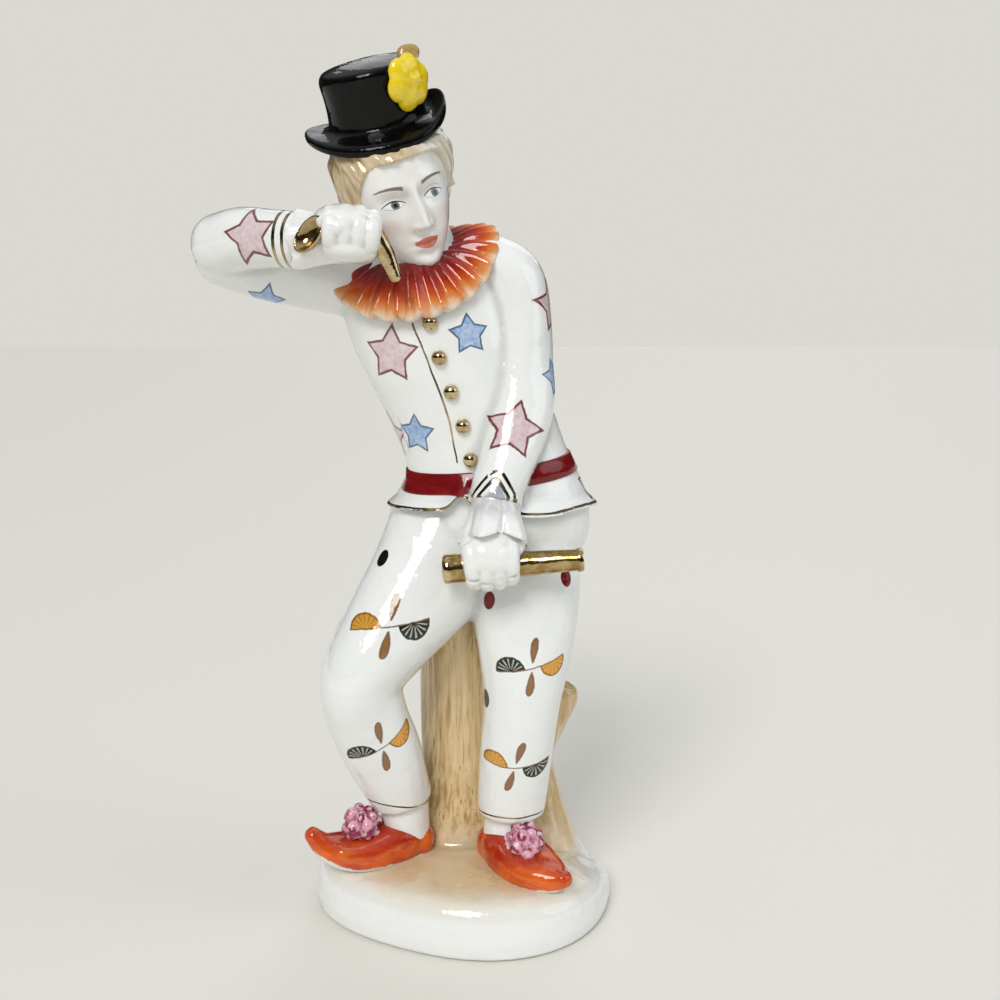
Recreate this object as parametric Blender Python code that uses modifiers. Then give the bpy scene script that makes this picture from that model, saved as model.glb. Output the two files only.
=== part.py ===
"""A slip-cast and glazed porcelain clown, fused in the firing to a mound and a tree stump.

Units are metres, +Z is up, and the figure looks towards -Y. The origin is the middle of the
underside of the mound. The clown is a free form, so its pose is written in shares: one share is
a 259th of the height from the top of the mound to the top of the hat.
"""

import math

import bmesh
import bpy
import numpy as np
from mathutils import Euler, Matrix, Vector, noise

# The whole ornament
TOTAL_HEIGHT = 0.277
# The mound that the clown and the stump stand on
MOUND_WIDTH = 0.098
MOUND_DEPTH = 0.084
MOUND_HEIGHT = 0.018
MOUND_EDGE_RADIUS = 0.0075
# The gilded baton in the lower hand
BATON_LENGTH = 0.0430
BATON_THICK_RADIUS = 0.0046
BATON_THIN_RADIUS = 0.0033
# The jacket's beads and sash
BUTTON_COUNT = 5
BUTTON_RADIUS = 0.0024
SASH_WIDTH = 0.0062
SASH_PROUD = 0.0006
# The hat
CROWN_RADIUS = 0.0152
CROWN_HEIGHT = 0.0190
BRIM_OVERHANG = 0.0075
BRIM_THICKNESS = 0.0030
PETALS = 6
# The collar
PLEATS = 24
COLLAR_THICKNESS = 0.0028
# The bobbles on the shoes
BOBBLE_RADIUS = 0.0064

SHARES_ABOVE_MOUND = 259
SHARE = (TOTAL_HEIGHT - MOUND_HEIGHT) / SHARES_ABOVE_MOUND
# The casting is fused on a grid this fine, and then thinned to this many triangles
FUSING_GRID = 0.95 * SHARE
MOST_TRIANGLES = 9700

GLAZE_WHITE = (0.86, 0.85, 0.81, 1.0)
RING_POINTS = 28
FRONT = Vector((0, -1, 0))


def at(x, y, z):
    """A point of the figure: shares across, back and up from the middle of the mound's top."""
    return Vector((x * SHARE, y * SHARE, MOUND_HEIGHT + z * SHARE))


def mesh_object(name, bm):
    bmesh.ops.recalc_face_normals(bm, faces=bm.faces)
    mesh = bpy.data.meshes.new(name)
    bm.to_mesh(mesh)
    bm.free()
    made = bpy.data.objects.new(name, mesh)
    bpy.context.scene.collection.objects.link(made)
    return made


def smooth_path(values, steps):
    """Catmull-Rom through rows of numbers, with this many steps between two rows."""
    rows = np.array(values, float)
    rows = np.vstack([2 * rows[0] - rows[1], rows, 2 * rows[-1] - rows[-2]])
    found = []
    for i in range(1, len(rows) - 2):
        a, b, c, d = rows[i - 1 : i + 3]
        for t in np.arange(steps) / steps:
            found.append(
                0.5 * (2 * b + (c - a) * t + (2 * a - 5 * b + 4 * c - d) * t**2
                       + (3 * b - a - 3 * c + d) * t**3)
            )
    found.append(rows[-2])
    return np.array(found)


def skin_rings(name, rings):
    """A closed body over rings of points, each end closed by a fan."""
    bm = bmesh.new()
    made = [[bm.verts.new(p) for p in ring] for ring in rings]
    count = len(made[0])
    for low, high in zip(made, made[1:]):
        for i in range(count):
            j = (i + 1) % count
            bm.faces.new((low[i], low[j], high[j], high[i]))
    for ring in (made[0], made[-1]):
        middle = bm.verts.new(sum((v.co for v in ring), Vector()) / count)
        for i in range(count):
            bm.faces.new((ring[i], ring[(i + 1) % count], middle))
    return mesh_object(name, bm)


def limb(name, stations, steps=4, front=FRONT, rounded=(True, True), ripple=None, square=1.0):
    """A tapering body along a path. A station is x, y, z, half width and half depth, in shares.

    ripple(turn, along) gives a share to add to the radius, where turn is the angle round the
    limb and along runs from 0 to 1. A square under 1 fills out the corners of the section.
    """
    rows = smooth_path([s if len(s) == 5 else (*s, s[-1]) for s in stations], steps)
    centres = [at(*row[:3]) for row in rows]
    last = len(rows) - 1
    rings = []
    for i, (centre, row) in enumerate(zip(centres, rows)):
        along = (centres[min(i + 1, last)] - centres[max(i - 1, 0)]).normalized()
        side = along.cross(front).normalized()
        deep = side.cross(along).normalized()
        shape = [(1.0, 0.0)]
        if i == 0 and rounded[0]:
            shape = [(math.sin(a), -math.cos(a)) for a in (0.35, 0.7, 1.05, 1.35)] + shape
        if i == last and rounded[1]:
            shape += [(math.sin(a), math.cos(a)) for a in (1.35, 1.05, 0.7, 0.35)]
        wide, thick = row[3] * SHARE, row[4] * SHARE
        for swell, shift in shape:
            ring = []
            for k in range(RING_POINTS):
                turn = 2 * math.pi * k / RING_POINTS
                more = ripple(turn, i / last) * SHARE if ripple else 0
                across, through = math.cos(turn), math.sin(turn)
                ring.append(
                    centre
                    + along * shift * min(wide, thick) * 0.9
                    + side * math.copysign(abs(across) ** square, across) * (wide + more) * swell
                    + deep * math.copysign(abs(through) ** square, through) * (thick + more) * swell
                )
            rings.append(ring)
    return skin_rings(name, rings)


def ball(name, centre, radii, turn=(0, 0, 0), detail=3):
    """An ellipsoid, in metres, turned by angles in degrees."""
    bm = bmesh.new()
    bmesh.ops.create_icosphere(bm, subdivisions=detail, radius=1)
    place = Matrix.Translation(centre) @ Euler(map(math.radians, turn)).to_matrix().to_4x4()
    bm.transform(place @ Matrix.Diagonal((*radii, 1)))
    return mesh_object(name, bm)


# The mound and the stump


def mound_reach(turn):
    """How far the hand-cut outline of the mound departs from an oval, as a factor."""
    oval = 0.015 * math.cos(turn) + 0.038 * math.cos(2 * turn + 1.0)
    return 1 + oval + 0.023 * math.cos(3 * turn - 2.7) + 0.016 * math.cos(4 * turn - 1.7)


def mound_fall(turn):
    """How steeply the mound falls away, from 0 in front to 1 at the right under the branch."""
    away = (turn - math.radians(28) + math.pi) % (2 * math.pi) - math.pi
    return math.exp(-((away / math.radians(50)) ** 2))


def mound():
    """The oval mound: upright sides, a rounded shoulder, and a top that rises to the stump."""
    flat = MOUND_HEIGHT - MOUND_EDGE_RADIUS
    profile = [(1.0, -0.004, 0), (1.0, 0.0, 0), (1.01, flat * 0.5, 0.3), (1.0, flat, 0.5)]
    for a in (0.35, 0.7, 1.05, 1.4):
        inset = MOUND_EDGE_RADIUS * (1 - math.cos(a)) / (MOUND_WIDTH / 2)
        profile.append((1 - inset, flat + MOUND_EDGE_RADIUS * math.sin(a), 0.5))
    for share, rise, fall in ((0.78, 0.02, 0.3), (0.6, 0.06, 0.1), (0.4, 0.10, 0), (0.2, 0.12, 0)):
        profile.append((share, MOUND_HEIGHT * (1 + rise), fall))
    rings = []
    for reach, height, fall in profile:
        ring = []
        for k in range(64):
            turn = 2 * math.pi * k / 64
            span = reach * mound_reach(turn)
            ring.append(
                Vector((
                    MOUND_WIDTH / 2 * span * math.cos(turn),
                    MOUND_DEPTH / 2 * span * math.sin(turn),
                    height * (1 - fall * mound_fall(turn)),
                ))
            )
        rings.append(ring)
    return skin_rings("mound", rings)


def bark(turn, along):
    """Upright ridges of bark, which wander a little up the stump."""
    wander = 0.5 * math.sin(5 * along)
    return 0.75 * noise.noise((3.1 * math.cos(turn + wander), 3.1 * math.sin(turn + wander), along))


def stump():
    trunk = limb(
        "trunk",
        [
            (-1, 11, -6, 25, 21),
            (-1, 12, 3, 20, 17.5),
            (-2, 13, 14, 15.5, 14.5),
            (-2, 14, 30, 13.6, 13),
            (-2, 14, 60, 13.2, 12.6),
            (1, 12, 90, 13.6, 12),
            (6, 9, 106, 13, 11),
        ],
        ripple=bark,
    )
    branch = limb(
        "branch",
        [
            (20, 10, -8, 25, 20),
            (21, 12, 3, 17.5, 15),
            (22, 14, 16, 11.5, 11),
            (23, 15, 28, 8.4, 9.5),
            (27, 16, 39, 8.2, 8.6),
            (32, 16, 49, 8.0, 7.8),
            (33.5, 16, 53, 6.0, 6.4),
        ],
        ripple=bark,
        rounded=(True, False),
    )
    return [trunk, branch]


# The trousers and the shoes


def trousers():
    right = [
        (-1, 1, 111, 24, 17),
        (-11.5, -5, 95, 19.8, 17),
        (-23, -12.5, 80, 16.0, 15.5),
        (-32, -18, 66.5, 13.4, 13.8),
        (-31.2, -16, 54, 12.8, 12.8),
        (-26, -11, 38, 12.6, 12),
        (-21.5, -6.5, 23, 10.6, 10.6),
        (-20.6, -6, 19.5, 10.2, 10.2),
    ]
    left = [
        (20, 1, 110, 19, 17),
        (20.5, -4, 89, 18, 16.5),
        (20.4, -9, 72, 15.4, 14.5),
        (19.4, -11, 56, 12.6, 12.8),
        (17.6, -10, 38, 12.0, 12.2),
        (16.2, -8.5, 22, 11.5, 11.3),
        (16.0, -8.2, 17, 11.2, 11.0),
    ]
    return [
        limb("right_trouser", right, rounded=(True, False)),
        limb("left_trouser", left, rounded=(True, False)),
        limb("right_ankle", [(-20.5, -6, 21, 8.6), (-19, -5.6, 8, 7.6)]),
        limb("left_ankle", [(15.8, -8.4, 19, 8.8), (14.2, -9.6, 8, 7.8)]),
    ]


def shoe(name, heel, toe, lift):
    """A slipper with a curled toe: stations run from heel to toe, as shares of its length."""
    heel, toe = Vector(heel), Vector(toe)
    way = toe - heel
    stations = []
    for along, rise, wide, tall in (
        (0.04, 5.4, 6.4, 6.4),
        (0.20, 6.0, 8.8, 7.4),
        (0.42, 5.2, 10.2, 6.6),
        (0.60, 4.4 + 0.05 * lift, 9.8, 5.6),
        (0.75, 4.2 + 0.20 * lift, 8.0, 5.0),
        (0.88, 4.0 + 0.52 * lift, 5.4, 3.9),
        (0.98, 4.2 + lift, 2.9, 2.6),
    ):
        spot = heel + way * along
        stations.append((spot.x, spot.y, spot.z + rise, wide, tall))
    return limb(name, stations, front=Vector((0, 0, 1)), square=0.78)


def bobble(name, centre):
    """A ball covered in small round knots."""
    middle = at(*centre)
    made = [ball(name, middle, [BOBBLE_RADIUS * 0.84] * 3)]
    knots = 34
    for k in range(knots):
        height = 1 - 2 * (k + 0.5) / knots
        turn = k * math.pi * (3 - math.sqrt(5))
        flat = math.sqrt(1 - height * height)
        out = Vector((flat * math.cos(turn), flat * math.sin(turn), height))
        knot = ball(f"{name}_knot", middle + out * BOBBLE_RADIUS * 0.82, [BOBBLE_RADIUS * 0.27] * 3,
                    detail=2)
        made.append(knot)
    return made


def shoes():
    return [
        shoe("right_shoe", (-14.5, -4.5, 0), (-50, -17.5, -0.5), 8.5),
        shoe("left_shoe", (9.5, -7, 0), (33, -31.5, -3), 2.5),
        *bobble("right_bobble", (-33.5, -12.5, 13.8)),
        *bobble("left_bobble", (20.2, -19, 11.2)),
    ]


# The jacket, its sleeves, sash and beads

TORSO = [
    (10, 3, 90, 18, 14),
    (11, 2, 106, 29, 19),
    (11, 1.5, 117, 30.5, 20.5),
    (8.4, 1, 131, 26.6, 18.2),
    (5, 1, 143, 25.4, 17.4),
    (0, 0.5, 155, 25, 17.6),
    (-6, 0, 169, 25.6, 18.2),
    (-10.5, 0, 181, 26.6, 17.4),
    (-12.4, 0, 190, 26, 15.4),
    (-13, 0, 197, 20, 12.4),
    (-13.2, -1, 203, 11, 10),
]


def torso():
    return limb("torso", TORSO, rounded=(True, True))


def waist_frame():
    """The middle of the waistline, and the directions across it, forward through it and up it.
    It dips in front and on the side of the bent leg, but leans less than the back does."""
    middle = at(*TORSO[3][:3]) - Vector((0.5 * SHARE, 0, 0))
    up = Vector((-0.11, -0.12, 1)).normalized()
    across = up.cross(FRONT).normalized()
    return middle, across, across.cross(up).normalized(), up


def jacket_skirt():
    """The jacket flares from the waist to a level hem, which stands off the trousers and is
    notched in front, where its two sides meet."""
    middle, across, deep, up = waist_frame()
    hem_middle = at(9.8, 0.6, 119.6)
    hem_wide, hem_deep = 34.2 * SHARE, 23.4 * SHARE
    notch_turn, notch_lift = math.radians(106), 5.0 * SHARE
    right_swing = 1.6 * SHARE
    rings = []
    for drop, flare in ((-0.2, -0.4), (0, -0.05), (0.3, 0.12), (0.6, 0.40), (0.85, 0.78),
                        (1.0, 1.0), (1.06, 0.97), (1.05, 0.80), (0.9, 0.45)):
        ring = []
        for k in range(96):
            turn = 2 * math.pi * k / 96
            wide = TORSO[3][3] * SHARE
            thick = TORSO[3][4] * SHARE
            top = middle + across * math.cos(turn) * wide + deep * math.sin(turn) * thick
            wave = 0.7 * SHARE * math.cos(5 * turn + 0.4)
            low = hem_middle + Vector((math.cos(turn) * (hem_wide + wave),
                                       -math.sin(turn) * (hem_deep + wave), 0))
            low.z += notch_lift * math.exp(-(((turn - notch_turn) / 0.12) ** 2))
            low.x -= right_swing * max(-math.cos(turn), 0) ** 3
            ring.append(Vector((top.x + (low.x - top.x) * flare, top.y + (low.y - top.y) * flare,
                                top.z + (low.z - top.z) * drop)))
        rings.append(ring)
    return skin_rings("jacket_skirt", rings)


def sash():
    middle, across, deep, up = waist_frame()
    half = SASH_WIDTH / 2
    rings = []
    for height, proud in ((-half - 0.3 * SASH_PROUD, -2 * SASH_PROUD), (-half, 0.5 * SASH_PROUD),
                          (-half + SASH_PROUD, SASH_PROUD), (half - SASH_PROUD, SASH_PROUD),
                          (half, 0.5 * SASH_PROUD), (half + 0.3 * SASH_PROUD, -2 * SASH_PROUD)):
        ring = []
        for k in range(72):
            turn = 2 * math.pi * k / 72
            wide = (TORSO[3][3] + 0.3) * SHARE + proud
            thick = (TORSO[3][4] + 0.7) * SHARE + proud
            ring.append(middle + across * math.cos(turn) * wide + deep * math.sin(turn) * thick
                        + up * height)
        rings.append(ring)
    return skin_rings("sash", rings)


def sleeves():
    raised_upper = [(-22, 2, 187, 12, 13), (-36, 1.5, 190, 10.8, 11), (-52, 1, 193, 9.8),
                    (-66, -1, 195.5, 9.6), (-75, -4, 198.5, 9.4)]
    raised_fore = [(-74.5, -7, 201.5, 9.8), (-66, -12, 203, 9.6), (-57, -16.5, 202.6, 8.8),
                   (-46.5, -20.8, 201.8, 8.3)]
    hanging = [(8, 1, 194.6, 11.5, 11.5), (14.8, 0.5, 190, 12), (17.6, -1, 178, 11.2),
               (18.6, -4, 164, 10.4), (18.8, -8, 152, 10.2), (15.8, -14.5, 139, 9.2),
               (11.8, -20, 127.6, 8.3), (10.8, -22.4, 122.2, 8.2)]
    return [
        limb("raised_upper_sleeve", raised_upper),
        limb("raised_fore_sleeve", raised_fore, rounded=(True, False)),
        limb("hanging_sleeve", hanging, rounded=(True, False)),
    ]


def buttons():
    """Gilded beads down the jacket's front, on the surface of the torso."""
    made = []
    rows = smooth_path(TORSO, 8)
    top, bottom = 177.5, 135.5
    for k in range(BUTTON_COUNT):
        height = top + (bottom - top) * k / max(BUTTON_COUNT - 1, 1)
        row = rows[np.argmin(abs(rows[:, 2] - height))]
        across = -0.1 * (top - height)
        front = row[1] - row[4] * math.sqrt(1 - (across / row[3]) ** 2) - 0.5
        made.append(ball(f"button_{k + 1}", at(row[0] + across, front, height),
                         [BUTTON_RADIUS] * 3, detail=3))
    return made


# The gloved hands and what they hold


def fist(name, centre, turn, thumb_side):
    """A closed glove: a rounded palm, with four fingers that wrap what it holds, and a thumb."""
    place = Matrix.Translation(at(*centre)) @ Euler(map(math.radians, turn)).to_matrix().to_4x4()
    made = [ball(f"{name}_palm", at(*centre), [8.8 * SHARE, 6.8 * SHARE, 7.2 * SHARE], turn)]
    for k in range(4):
        across = (k - 1.5) * 3.95
        length = (6.6, 7.4, 7.2, 6.2)[k if thumb_side > 0 else 3 - k]
        points = []
        for bend in np.radians((-70, -35, 0, 35, 70, 105)):
            points.append((across * (1 - 0.06 * math.sin(bend)), -6.3 * math.cos(bend),
                           -length * math.sin(bend)))
        made.append(tube(f"{name}_finger", points, 2.5, place))
    thumb = [(thumb_side * 4, 5, 5), (thumb_side * 8.2, 1, 4), (thumb_side * 7.6, -4.6, 2.2),
             (thumb_side * 3.6, -7.4, 1.2)]
    made.append(tube(f"{name}_thumb", thumb, 2.4, place))
    return made


def tube(name, points, radius, place):
    """A round-ended tube through points given in shares in a frame of its own."""
    rows = smooth_path(points, 3) * SHARE
    last = len(rows) - 1
    rings = []
    for i, row in enumerate(rows):
        along = Vector(rows[min(i + 1, last)] - rows[max(i - 1, 0)]).normalized()
        side = along.orthogonal().normalized()
        deep = side.cross(along)
        shape = [(1.0, 0.0)]
        if i == 0:
            shape = [(0.4, -0.9), (0.8, -0.6)] + shape
        if i == last:
            shape += [(0.8, 0.6), (0.4, 0.9)]
        size = radius * SHARE
        for swell, shift in shape:
            ring = []
            for k in range(14):
                a = 2 * math.pi * k / 14
                spot = Vector(row) + along * shift * size
                spot += (side * math.cos(a) + deep * math.sin(a)) * size * swell
                ring.append(place @ spot)
            rings.append(ring)
    return skin_rings(name, rings)


def gauntlet(name, wrist, rim, wrist_radius, rim_radius, wave, phase):
    """A flaring cuff with an open rim in five flaps, turned back a little inside."""
    wrist, rim = at(*wrist), at(*rim)
    along = (rim - wrist).normalized()
    side = along.cross(FRONT).normalized()
    deep = side.cross(along)
    rings = []
    for reach, swell in ((-0.35, 0.0), (-0.2, 0.05), (0, 0.0), (0.25, 0.2), (0.5, 0.5),
                         (0.75, 0.85), (0.92, 1.04), (1.0, 1.05), (1.02, 0.9), (0.92, 0.6),
                         (0.75, 0.3)):
        ring = []
        for k in range(36):
            turn = 2 * math.pi * k / 36
            radius = wrist_radius + (rim_radius - wrist_radius) * swell
            radius += wave * math.cos(5 * turn + phase) * swell
            spot = wrist.lerp(rim, reach)
            spot += along * SHARE * math.cos(5 * turn + phase) * swell
            spot += (side * math.cos(turn) + deep * 0.95 * math.sin(turn)) * radius * SHARE
            ring.append(spot)
        rings.append(ring)
    return skin_rings(name, rings)


def hands():
    made = fist("raised_fist", (-31.5, -26, 203.2), (8, 6, 8), -1)
    made += fist("lower_fist", (9.5, -27, 105.4), (-12, 3, 2), 1)
    made.append(ball("back_of_raised_hand", at(-32.4, -25.8, 207.0),
                     [9.2 * SHARE, 8.0 * SHARE, 5.0 * SHARE], (8, 6, 8)))
    made.append(limb("back_of_lower_hand", [
        (10.6, -26.6, 116, 7.6, 6.4), (10.0, -28, 111.4, 8.8, 7.8), (9.4, -28.4, 107.4, 9.2, 7.8),
        (9.2, -27.8, 104.4, 8.8, 7)], square=0.8))
    made.append(gauntlet("raised_cuff", (-36.5, -24.6, 201.6), (-47.4, -20.8, 201.8),
                         6.9, 8.6, 0.6, -1.0))
    made.append(gauntlet("lower_cuff", (10.9, -22.4, 122.4), (10.6, -26.4, 112.0),
                         7.6, 9.7, 0.9, 0.35))
    return made


def dish(name, centre, facing, long_way, half_long, half_wide, deep):
    """The open mouth of the horn, an oval bowl with a rounded lip."""
    facing = Vector(facing).normalized()
    long_way = Vector(long_way)
    long_way = (long_way - facing * long_way.dot(facing)).normalized()
    wide_way = facing.cross(long_way)
    outline = [(0.35, -1.5), (0.7, -1.1), (0.92, -0.55), (1.0, 0.0), (0.98, 0.16), (0.92, 0.2),
               (0.84, 0.05), (0.66, -0.4), (0.42, -0.72), (0.15, -0.85)]
    rings = []
    for reach, height in smooth_path(outline, 2):
        rings.append([at(*centre) + (long_way * math.cos(a) * half_long * reach
                                     + wide_way * math.sin(a) * half_wide * reach
                                     + facing * height * deep) * SHARE
                      for a in np.arange(32) * math.pi / 16])
    return skin_rings(name, rings)


def batons():
    """The lower baton is a plain rod. The raised one is a short curved horn, seen both sides."""
    middle = at(16.2, -27.5, 104.6)
    bpy.ops.mesh.primitive_cone_add(
        radius1=BATON_THICK_RADIUS, radius2=BATON_THIN_RADIUS, depth=BATON_LENGTH, vertices=32,
        location=middle, rotation=(0, math.radians(86), 0))
    rod = bpy.context.object
    rod.name = "baton"
    horn = [(-42.4, -30, 202.6, 3.6), (-38, -28, 203.6, 3.4), (-33, -28, 205.2, 3),
            (-26, -28, 204.5, 3), (-21.5, -28, 198, 2.7, 2.5), (-18.4, -28, 190.5, 1.8, 1.6)]
    bell = dish("bell", (-42.9, -32.4, 202.6), (-0.42, -0.86, 0.28), (0.6, 0, 0.8), 6.2, 4.0, 2.4)
    return [rod, bell, limb("horn", horn, steps=5)]


# The collar


def collar():
    """The pleated collar: a saddle that drops over the chest and lies across the shoulders."""
    place = Matrix.Translation(at(-14.6, -3.4, 196.4)) @ Euler(
        (math.radians(20), math.radians(-10), 0)).to_matrix().to_4x4()
    thick = COLLAR_THICKNESS / SHARE
    spans = [0.0, 0.2, 0.45, 0.7, 0.9, 1.0]
    rings = []
    loop = [(s, thick / 2) for s in spans] + [(s, -thick / 2) for s in reversed(spans)]
    for span, side in loop:
        ring = []
        count = PLEATS * 6
        for k in range(count):
            turn = 2 * math.pi * k / count
            fold = 1.4 * math.cos(PLEATS * turn) + 0.5
            wide = 9.0 + (27.4 - 9.0) * span + 0.25 * fold * span
            deep = 9.0 + (23.5 - 9.0) * span + 0.25 * fold * span
            facing = ((1 - math.sin(turn)) / 2) ** 1.6
            left = max(math.cos(turn), 0) ** 4
            drop = (13 * facing + 0.5 - 5.1 * left) * span**1.2
            puff = 1.6 * math.sin(math.pi * span)
            height = 3.2 - drop + puff + side + 0.85 * fold * span
            ring.append(place @ (Vector((wide * math.cos(turn), deep * math.sin(turn), height))
                                 * SHARE))
        rings.append(ring)
    bm = bmesh.new()
    made = [[bm.verts.new(p) for p in ring] for ring in rings]
    count = len(made[0])
    for i in range(len(made)):
        low, high = made[i], made[(i + 1) % len(made)]
        for k in range(count):
            bm.faces.new((low[k], low[(k + 1) % count], high[(k + 1) % count], high[k]))
    return mesh_object("collar", bm)


# The head, in a frame of its own: x across the face, y back and z up from between the eyes

HEAD_CENTRE = (-19.4, -7.4, 216.6)
HEAD_TURN = (18, -15, 20)  # bowed forward, leaning to its right, looking to its left
# Height, half width, and reach to the front and to the back
SKULL = [
    (-21.6, 4.0, 12.6, 3.0), (-20.0, 6.8, 14.9, 5.0), (-17.0, 9.4, 15.9, 8.0),
    (-13.0, 11.8, 16.3, 11.5), (-8.0, 13.8, 16.8, 14.5), (-3.0, 15.2, 17.1, 16.8),
    (2.0, 16.0, 17.2, 18.6), (7.0, 16.4, 17.0, 19.4), (12.0, 16.2, 16.0, 19.0),
    (16.0, 14.8, 13.8, 17.0), (19.0, 11.6, 10.2, 13.2), (21.2, 5.0, 4.4, 5.6),
]
HEAD_RING = 72


def head_frame():
    bow, lean, look = (math.radians(a) for a in HEAD_TURN)
    turn = Matrix.Rotation(lean, 4, "Y") @ Matrix.Rotation(bow, 4, "X")
    return Matrix.Translation(at(*HEAD_CENTRE)) @ turn @ Matrix.Rotation(look, 4, "Z")


def hump(value, middle, spread):
    return math.exp(-(((value - middle) / spread) ** 2))


def ease(value, low, high):
    t = min(max((value - low) / (high - low), 0), 1)
    return t * t * (3 - 2 * t)


def face_relief(x, z):
    """How far the face stands forward of the plain head at x across and z up, in shares."""
    side = abs(x)
    relief = -2.3 * hump(side, 6.2, 3.4) * hump(z, 0.8, 2.7)
    relief -= 1.0 * hump(side, 2.6, 1.6) * hump(z, 1.2, 2.4)
    relief += 1.7 * hump(side, 6.6, 2.5) * hump(z, 0.0, 1.8)
    relief += 0.7 * hump(side, 6.0, 4.8) * hump(z, 5.0, 2.0)
    bridge = 1.4 + 3.4 * ease(-z, -4, 7.4)
    wide = 1.5 + 1.0 * ease(-z, 0, 7.5)
    relief += bridge * math.exp(-((side / wide) ** 2)) * ease(z, -9.6, -7.6) * ease(-z, -7, -2)
    relief += 1.3 * hump(side, 2.5, 1.0) * hump(z, -7.6, 1.2)
    relief += 1.25 * hump(z, -11.7, 0.95) * hump(side, 0, 3.4)
    relief += 1.35 * hump(z, -14.0, 1.1) * hump(side, 0, 2.9)
    relief -= 0.5 * hump(z, -12.8, 0.45) * hump(side, 0, 3.8)
    relief -= 0.7 * hump(z, -16.2, 1.1) * hump(side, 0, 4.0)
    relief += 1.2 * hump(z, -19.0, 2.4) * hump(side, 0, 3.8)
    relief += 0.6 * hump(side, 9.4, 3.4) * hump(z, -5.0, 3.6)
    return relief


def hairline(y):
    """The lower edge of the hair, as a height for a place from front to back."""
    front = 11.5 - 14.0 * ease(y, -14, -5)
    over_ear = 5.5 * hump(y, 1.5, 4.0)
    return front + over_ear - 11.0 * ease(y, 4, 14)


def head_skin(name, hair):
    """The head as rings at rising heights: the bare head with its face, or the cap of hair."""
    rings = []
    for z, wide, front, back in smooth_path(SKULL, 5):
        ring = []
        for k in range(HEAD_RING):
            turn = 2 * math.pi * k / HEAD_RING
            x = wide * math.cos(turn)
            reach = back if math.sin(turn) > 0 else front
            y = reach * math.sin(turn)
            if hair:
                cover = ease(z, hairline(y) - 0.8, hairline(y) + 0.8)
                lock = 0.5 * math.sin(1.5 * turn * 6 + 0.55 * z + 1.2 * math.sin(0.4 * z))
                full = 1.4 * hump(z, 12, 7) * max(math.cos(turn), 0) ** 1.5
                full -= 1.1 * max(-math.cos(turn), 0)
                more = -5.0 + cover * (6.6 + lock + full + 0.8 * hump(y, 4, 9))
                spot = Vector((x + more * math.cos(turn), y + more * math.sin(turn), z))
            else:
                facing = ease(-math.sin(turn), 0.15, 0.6)
                spot = Vector((x, y - face_relief(x, z) * facing, z))
            ring.append(spot * SHARE)
        rings.append(ring)
    placed = head_frame()
    return skin_rings(name, [[placed @ spot for spot in ring] for ring in rings])


def head():
    made = [head_skin("head", False), head_skin("hair", True)]
    place = head_frame()
    for side in (-1, 1):
        ear = place @ (Vector((side * 16.0, 2.0, -2.6)) * SHARE)
        turn = place.to_3x3() @ Euler((0.15, side * 0.1, side * 0.4)).to_matrix()
        made.append(ball("ear", ear, [1.4 * SHARE, 2.9 * SHARE, 4.6 * SHARE],
                         [math.degrees(a) for a in turn.to_euler()]))
    made.append(limb("neck", [(-12.6, -1.0, 190, 9.2), (-13.4, -2.0, 199, 8.2),
                              (-16, -2.6, 207, 8.6)]))
    return made


# The hat and its flower

HAT_CENTRE = (-24.6, -8.2, 236.4)
HAT_TURN = (23, -9, 0)


def hat_frame():
    turn = Euler(map(math.radians, HAT_TURN)).to_matrix().to_4x4()
    return Matrix.Translation(at(*HAT_CENTRE)) @ turn


def hat():
    """A top hat with a waisted crown, and a brim that curls up at the sides."""
    place = hat_frame()
    crown = CROWN_RADIUS
    brim = crown + BRIM_OVERHANG
    half = BRIM_THICKNESS / 2
    tall = CROWN_HEIGHT
    outline = [(0.5 * crown, -0.5 * tall), (0.96 * crown, -0.3 * tall), (1.0 * crown, -half),
               (0.5 * (crown + brim), -half), (brim - 0.3 * half, -0.8 * half), (brim, 0),
               (brim - 0.3 * half, 0.8 * half), (0.5 * (crown + brim), half),
               (crown + 0.8 * half, half * 1.3), (0.985 * crown, 0.18 * tall),
               (0.965 * crown, 0.40 * tall), (0.975 * crown, 0.62 * tall),
               (1.0 * crown, 0.80 * tall), (0.99 * crown, 0.885 * tall),
               (0.95 * crown, 0.945 * tall), (0.86 * crown, 0.985 * tall),
               (0.5 * crown, 1.03 * tall)]
    rings = []
    for radius, height in outline:
        ring = []
        for k in range(56):
            turn = 2 * math.pi * k / 56
            out = max(radius - crown, 0) / BRIM_OVERHANG
            left = max(math.cos(turn - 0.45), 0) ** 2
            right = max(-math.cos(turn), 0) ** 3
            curl = 6.4 * left + 1.6 * right - 2.4 * math.sin(turn) ** 2
            reach = radius * (1 - 0.08 * out * left)
            slope = 0.05 * reach * math.cos(turn) * max(height / tall, 0)
            rolled = height * (1 + 0.7 * out * left) + curl * SHARE * out**1.6 + slope
            ring.append(place @ Vector((reach * math.cos(turn), reach * 0.96 * math.sin(turn),
                                        rolled)))
        rings.append(ring)
    return skin_rings("hat", rings)


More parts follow.
